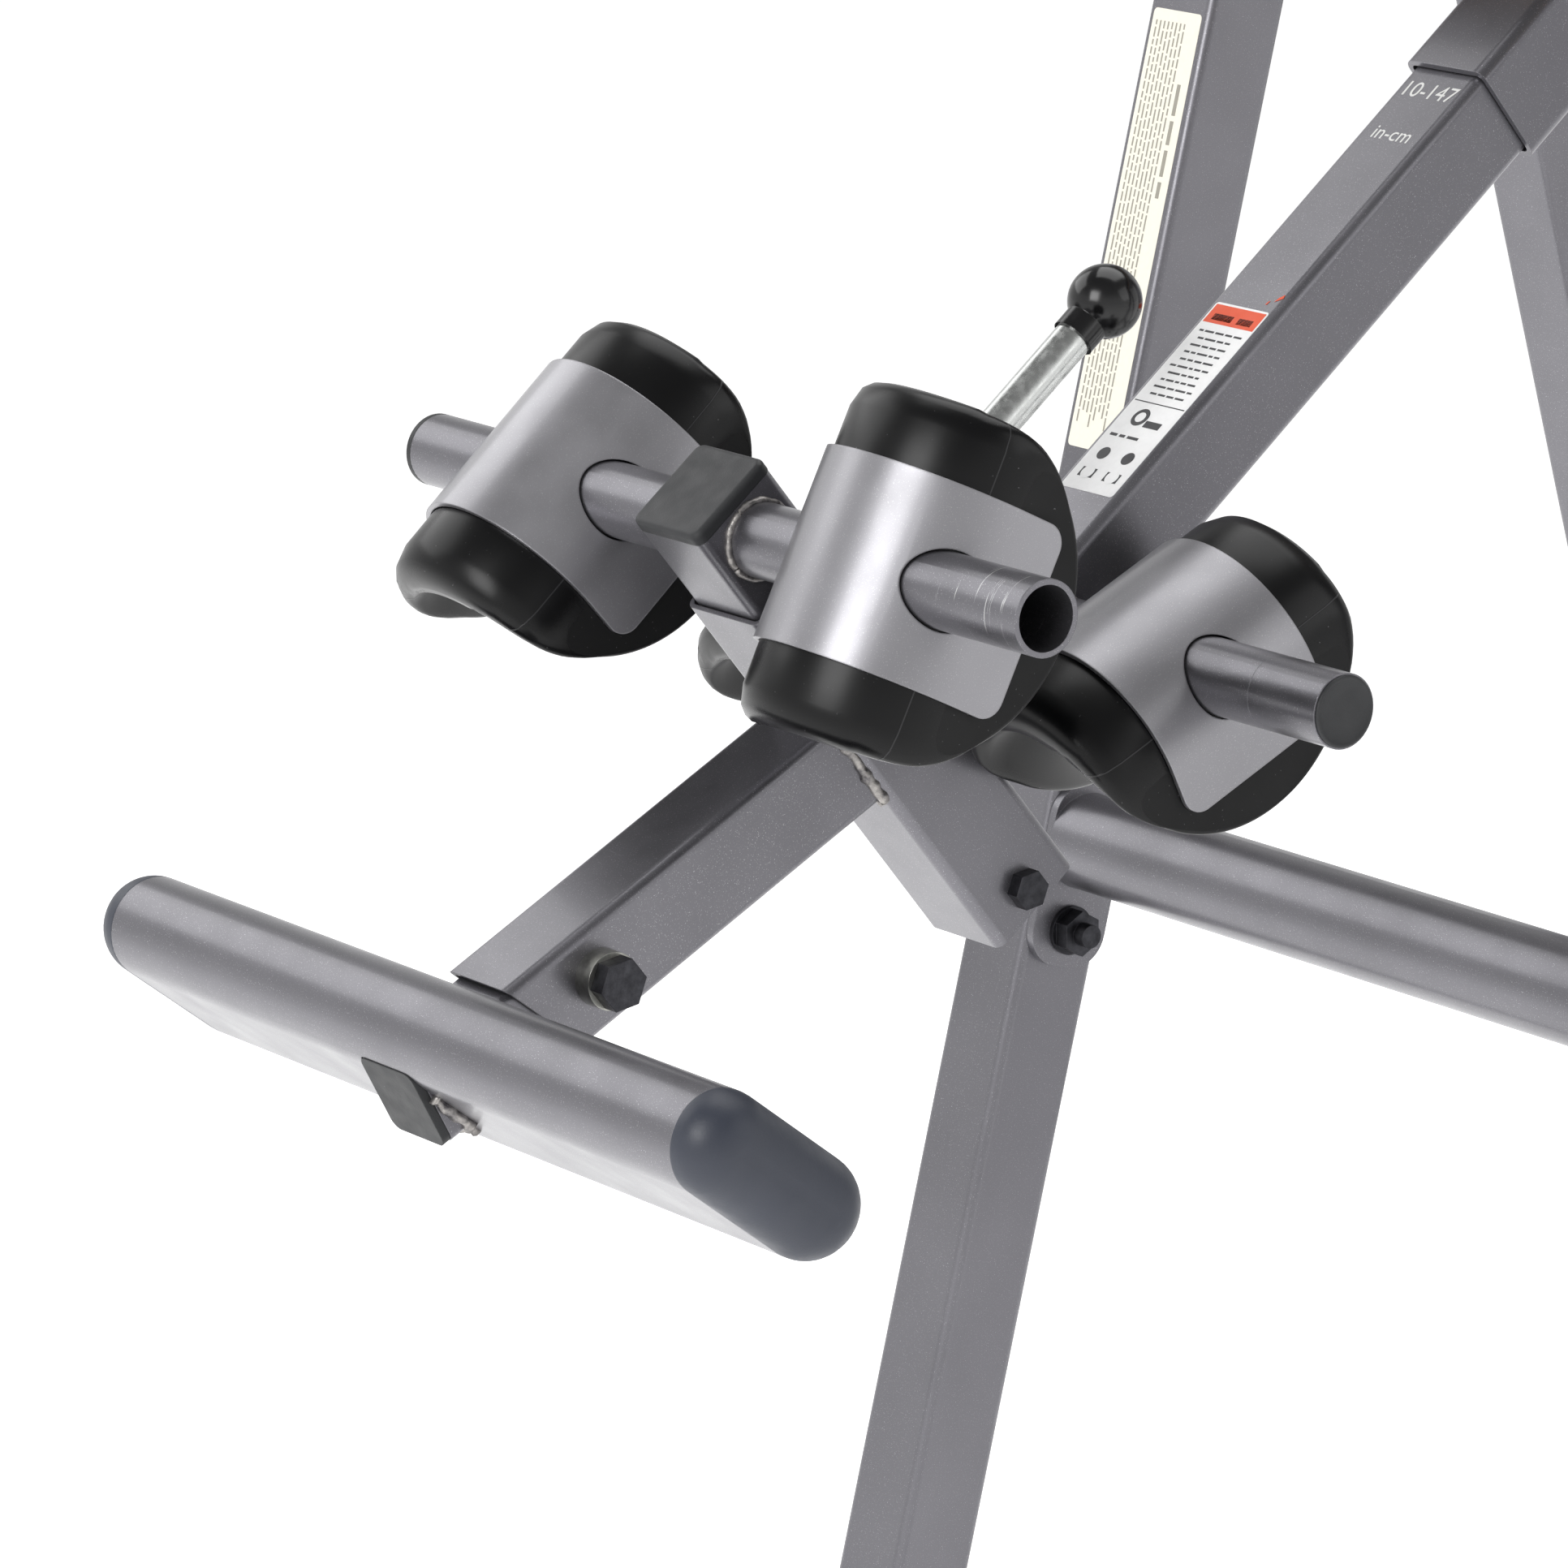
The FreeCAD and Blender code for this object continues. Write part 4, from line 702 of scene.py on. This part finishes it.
def shaft_label():
    """Notice on the shaft's top face: coloured header, lines of marks and small pictures."""
    art = Print()
    length = 95.0
    width = 30.0
    art.sheet(width, length, 1.5, 0)
    top = length / 2
    left = -width / 2
    art.bar(left + 0.8, top - 10.0, width - 1.6, 9.0, 1)
    art.text_line(left + 4, top - 8.4, width - 8, 5.6, 2, 5)
    for row in range(10):
        inset = 3.0 + 2.5 * abs(math.sin(row * 1.9))
        art.text_line(left + inset, top - 14.5 - 3.6 * row, width - 2 * inset, 1.7, 2, row)
    art.bar(left + 0.8, top - 51.0, width - 1.6, 0.5, 2)
    art.disc(-4.0, top - 58.0, 4.2, 2)
    art.disc(-4.0, top - 58.0, 2.4, 0, 0.2)
    art.bar(0.5, top - 62.0, 9.0, 3.2, 2)
    art.text_line(left + 3, top - 68.5, width - 14, 2.4, 2, 21)
    for side in (-7.0, 7.0):
        art.disc(side, top - 77.0, 3.0, 2)
        art.bar(side - 4.0, top - 89.0, 8.0, 4.5, 2)
        art.disc(side, top - 86.5, 3.2, 0, 0.2)
    # Two chips of the header's colour on the shaft, just past the notice's upper end.
    art.polygon(((12.4, top + 5.2), (15.6, top + 7.6), (15.0, top + 9.4), (13.2, top + 7.4)), 1, 0.12)
    art.polygon(((9.2, top + 3.4), (9.9, top + 3.2), (10.4, top + 5.4), (9.7, top + 5.0)), 1, 0.12)
    matrix = table_matrix(0, SHAFT_LABEL_S, SHAFT_HALF)
    art.make("shaft_label", (PAPER, ORANGE, INK), matrix, "shaft")


def leg_label():
    """Tall notice on the left front leg: rows of marks that run down the leg."""
    art = Print()
    width = 31.0
    length = 186.0
    art.sheet(length, width, 2.0, 0)
    left = -length / 2
    art.text_line(left + 30, 8.6, 48, 4.2, 1, 40)
    for row in range(8):
        short = 9 * abs(math.sin(row * 2.3))
        art.text_line(left + 5, 5.2 - 2.6 * row, length - 12 - short, 1.7, 1, row)
    low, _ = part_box("front_legs")
    lean = math.radians(LEG_LEAN)
    up = Vector((0, math.sin(lean), math.cos(lean)))
    front = Vector((0, -math.cos(lean), math.sin(lean)))
    foot = Vector((low.x + LEG_HALF * MM, low.y, low.z))
    place = foot + up * (LEG_LABEL_HEIGHT - low.z) / math.cos(lean)
    matrix = basis(-up, ACROSS, front, place)
    art.make("leg_label", (CREAM, GREY_INK), matrix, "front_frame")


def scale_mark(text, size, s, body):
    """White number on the shaft's top face."""
    curve = bpy.data.curves.new("scale", "FONT")
    curve.body = text
    curve.size = size * MM
    curve.align_x = "CENTER"
    curve.align_y = "CENTER"
    curve.extrude = 0.04 * MM
    holder = bpy.data.objects.new("scale_holder", curve)
    bpy.context.scene.collection.objects.link(holder)
    bpy.context.view_layer.update()
    mesh = bpy.data.meshes.new_from_object(holder)
    bpy.data.objects.remove(holder)
    made = bpy.data.objects.new("scale_" + str(int(s)), mesh)
    mesh.materials.clear()
    mesh.materials.append(WHITE_INK.material)
    bpy.context.scene.collection.objects.link(made)
    made.matrix_world = table_matrix(0, s, SHAFT_HALF + 0.06)
    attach(made, body)


SCALE_PITCH = 25.0           # from one mark to the next along the shaft
SCALE_MARKS = 11
SCALE_START_S = 305.5        # first mark, of 58 inches or 147 cm
SCALE_START_INCHES = 58
SCALE_START_CM = 147
SCALE_UNITS_S = 283.0

shaft_label()
leg_label()
for step in range(SCALE_MARKS):
    feet, inches = divmod(SCALE_START_INCHES + step, 12)
    centimetres = SCALE_START_CM + round(2.54 * step)
    # A mark shows the inches over the last whole foot, or the feet where there are none over.
    text = "%d-%d" % (inches or feet, centimetres)
    scale_mark(text, 10.5, SCALE_START_S + SCALE_PITCH * step, "shaft")
scale_mark("in-cm", 9.5, SCALE_UNITS_S, "shaft")


# ---- Small pieces of the ankle clamp ----------------------------------------------------
END_DISC_PROFILE = (         # radius and height above the tube's end, from the back to the middle
    (12.9, -0.2), (12.9, 0.5), (12.5, 0.9), (12.0, 1.0),
    (11.5, 0.8), (11.2, 0.5), (6.0, 0.45), (0.05, 0.4),
)


def turned(name, profile, matrix, materials):
    """Piece turned about local Z from (radius, height) pairs in millimetres."""
    rings = []
    for radius, height in profile:
        ring = []
        for angle in circle(40):
            ring.append(Vector((radius * math.cos(angle), radius * math.sin(angle), height)) * MM)
        rings.append(ring)
    points, faces = capped(rings)
    return make_object(name, points, faces, materials, matrix)


def end_disc(name, sign, body):
    """Dished dark disc let into the end of the rear ankle tube."""
    low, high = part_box("rear_tube_ends")
    face = high.x if sign > 0 else low.x
    place = Vector((face, *table(0, *REAR_TUBE).yz))
    matrix = Matrix.Translation(place) @ Matrix.Rotation(sign * math.pi / 2, 4, "Y")
    disc = turned(name, END_DISC_PROFILE, matrix, [LOOKS["black_plastic"].material])
    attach(disc, body)


for sign, side in SIDES:
    end_disc("end_disc_" + side, sign, "shaft")


# ---- Mat and pillow ---------------------------------------------------------------------
STITCH_WIDTH = 6.0           # a sewn channel: its stitched line, its wide hollow and its puckers
HOLLOW_WIDTH = 24.0
PUCKER_WIDTH = 14.0
CHANNEL_PITCH = 130
EDGE_EASE = 0.98             # share of a quarter sine wave that spaces a cushion's grid lines
EASE_ALONG = 0.35            # share of that easing along the bed


def eased(plain):
    """Place from -1 to 1 across a cushion, with the lines closer together at its edges."""
    return math.sin(math.pi / 2 * plain * EDGE_EASE) / math.sin(math.pi / 2 * EDGE_EASE)


def to_outline(x, y, half_x, half_y, corner):
    """Pull a point of a rectangle inside its round corners; also return its depth inside."""
    inner_x = half_x - corner
    inner_y = half_y - corner
    out_x = max(0.0, abs(x) - inner_x)
    out_y = max(0.0, abs(y) - inner_y)
    if out_x > 0 and out_y > 0:
        largest = max(out_x, out_y)
        scale = largest / math.hypot(out_x, out_y)
        out_x *= scale
        out_y *= scale
        x = math.copysign(inner_x + out_x, x)
        y = math.copysign(inner_y + out_y, y)
        return x, y, corner - math.hypot(out_x, out_y)
    return x, y, min(half_x - abs(x), half_y - abs(y))


def cushion(name, node, half_x, half_y, height, corner, roll, crown, channels, cells):
    """Sewn cushion on the bed: a crowned top with channels, a rolled edge and a flat underside."""
    seed = len(name)
    columns, rows = cells
    top = []
    bottom = []
    middle = 0.5 * height
    for row in range(rows + 1):
        plain_y = 2 * row / rows - 1
        y0 = half_y * mix(plain_y, eased(plain_y), EASE_ALONG)
        for column in range(columns + 1):
            x0 = half_x * eased(2 * column / columns - 1)
            x, y, depth = to_outline(x0, y0, half_x, half_y, corner)
            edge = min(1.0, max(0.0, depth) / roll)
            rise = math.sqrt(max(0.0, 1 - (1 - edge) ** 2))
            dome = (1 - (x / half_x) ** 2) * (1 - 0.6 * (y / half_y) ** 4)
            puff = 1.0
            for seam in channels:
                gap = abs(y - seam)
                stitch = math.exp(-(gap / STITCH_WIDTH) ** 2)
                hollow = math.exp(-(gap / HOLLOW_WIDTH) ** 2)
                pucker = math.sin(x * 0.21 + seam) * math.exp(-(gap / PUCKER_WIDTH) ** 2)
                puff -= 0.65 * stitch + 0.35 * hollow
                puff += 0.06 * pucker
            crease = noise.noise(Vector((x * 0.016, y * 0.016, seed)))
            fine = noise.noise(Vector((x * 0.05, y * 0.05, seed + 5)))
            lift = middle + rise * (0.5 * height - crown + crown * dome * max(0.0, puff))
            lift += rise * (0.9 * crease + 0.35 * fine)
            top.append(Vector((x, y, lift)) * MM)
            under = middle - rise * 0.5 * height
            bottom.append(Vector((x, y, under)) * MM)
    wide = columns + 1
    points = top + bottom
    faces = []
    offset = len(top)
    for row in range(rows):
        for column in range(columns):
            a = row * wide + column
            faces.append((a, a + 1, a + 1 + wide, a + wide))
            faces.append((offset + a, offset + a + wide, offset + a + 1 + wide, offset + a + 1))
    low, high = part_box(node)
    local = table_matrix(0, 0, 0).inverted() @ ((low + high) / 2)
    matrix = table_matrix(0, local.y / MM, local.z / MM - height / 2)
    made = make_object(name, points, faces, [LOOKS["mat_fabric"].material], matrix)
    bm = bmesh.new()
    bm.from_mesh(made.data)
    bmesh.ops.remove_doubles(bm, verts=bm.verts, dist=0.02 * MM)
    bm.to_mesh(made.data)
    bm.free()
    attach(made, "bed")
    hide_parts(node)
    return matrix


def piping(name, matrix, half_x, half_y, corner, height, radius=2.2):
    """Welt cord sewn round a cushion's edge."""
    line = [Vector((x, y, height)) for x, y in rounded_outline(half_x, half_y, corner, 13)]
    rings = []
    count = len(line)
    for index in range(count + 1):
        centre = line[index % count]
        way = (line[(index + 1) % count] - line[(index - 1) % count]).normalized()
        side = Vector((way.y, -way.x, 0))
        ring = []
        for angle in circle(10):
            lift = Vector((0, 0, radius * math.sin(angle)))
            ring.append((centre + side * radius * math.cos(angle) + lift) * MM)
        rings.append(ring)
    points, faces = loft(rings)
    made = make_object(name, points, faces, [LOOKS["mat_fabric"].material], matrix)
    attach(made, "bed")


mat_matrix = cushion(
    "mat_cushion", "backrest_mat",
    half_x=199.0, half_y=523.0, height=42.0, corner=48.0, roll=17.0, crown=11.0,
    channels=[CHANNEL_PITCH * step for step in range(-3, 4)], cells=(56, 300),
)
piping("mat_piping", mat_matrix, half_x=200.0, half_y=524.0, corner=49.0, height=21.0)
pillow_matrix = cushion(
    "pillow_cushion", "head_pillow",
    half_x=139.0, half_y=79.0, height=44.0, corner=40.0, roll=22.0, crown=12.0,
    channels=[], cells=(64, 48),
)
piping("pillow_piping", pillow_matrix, half_x=139.5, half_y=79.5, corner=40.5, height=22.0, radius=1.8)


# ---- Room -------------------------------------------------------------------------------
FLOOR_HALF = 30.0            # metres
CAMERA_LENS = 176.5          # on a sensor 36 mm wide
CAMERA_PLACE = Vector((2.1415, -1.6544, 0.6303))   # from the table's origin, in metres
CAMERA_BACK = Vector((0.7819, -0.5773, 0.2352))    # from what the camera looks at to the camera
CAMERA_RIGHT = Vector((0.594, 0.8045, 0.0))
CLAMP = table(0, 0, 40)
LIGHTS = (                   # target, place from it in metres, width, height and power in watts
    ("key", CLAMP, (0.7, -2.3, 1.25), 1.3, 1.3, 33),
    ("rim", CLAMP, (-2.4, -0.9, 1.7), 2.8, 1.7, 27),
    ("fill", CLAMP, (2.2, 1.4, 1.2), 1.6, 1.6, 7),
    ("top", PIVOT, (-0.4, 0.6, 2.2), 2.5, 2.5, 42),
)


def area_light(name, target, offset, width, height, power):
    """Rectangular soft light that faces its target."""
    lamp = bpy.data.lights.new(name, "AREA")
    lamp.shape = "RECTANGLE"
    lamp.size = width
    lamp.size_y = height
    lamp.energy = power
    made = bpy.data.objects.new(name, lamp)
    bpy.context.scene.collection.objects.link(made)
    made.location = target + Vector(offset)
    made.rotation_euler = (target - made.location).to_track_quat("-Z", "Y").to_euler()


def make_floor():
    """Plain pale floor with a faint glow of its own."""
    corners = [Vector((x * FLOOR_HALF, y * FLOOR_HALF, 0)) for x, y in ((-1, -1), (1, -1), (1, 1), (-1, 1))]
    look = Look("floor", (0.86, 0.86, 0.86, 1), 0.8)
    look.rough(look.span(look.noise(3, 3.0), 0.3, 0.7, 0.75, 0.9))
    look.put("Emission Color", (1, 1, 1, 1))
    look.put("Emission Strength", 0.72)
    floor = make_object("floor", corners, [(0, 1, 2, 3)], [look.material], smooth=False)


def make_world():
    """Soft surround: bright near the horizon, darker overhead."""
    world = bpy.data.worlds.new("studio")
    world.use_nodes = True
    tree = world.node_tree
    background = tree.nodes["Background"]
    coords = tree.nodes.new("ShaderNodeTexCoord")
    split = tree.nodes.new("ShaderNodeSeparateXYZ")
    ramp = tree.nodes.new("ShaderNodeValToRGB")
    tree.links.new(coords.outputs["Generated"], split.inputs["Vector"])
    tree.links.new(split.outputs["Z"], ramp.inputs["Fac"])
    tree.links.new(ramp.outputs["Color"], background.inputs["Color"])
    stops = ((0.0, 1.0), (0.25, 0.9), (0.55, 0.34), (1.0, 0.22))
    elements = ramp.color_ramp.elements
    while len(elements) < len(stops):
        elements.new(0.5)
    for element, (place, level) in zip(elements, stops):
        element.position = place
        element.color = (level, level, level, 1)
    background.inputs["Strength"].default_value = 0.9
    bpy.context.scene.world = world


def make_camera():
    camera = bpy.data.cameras.new("camera")
    camera.sensor_width = 36.0
    camera.lens = CAMERA_LENS
    camera.clip_end = 200.0
    made = bpy.data.objects.new("camera", camera)
    bpy.context.scene.collection.objects.link(made)
    back = CAMERA_BACK.normalized()
    right = CAMERA_RIGHT.normalized()
    up = back.cross(right).normalized()
    made.matrix_world = basis(right, up, back, ORIGIN + CAMERA_PLACE)
    bpy.context.scene.camera = made


make_floor()
make_world()
make_camera()
for light in LIGHTS:
    area_light(*light)
bpy.context.scene.view_settings.view_transform = "Standard"
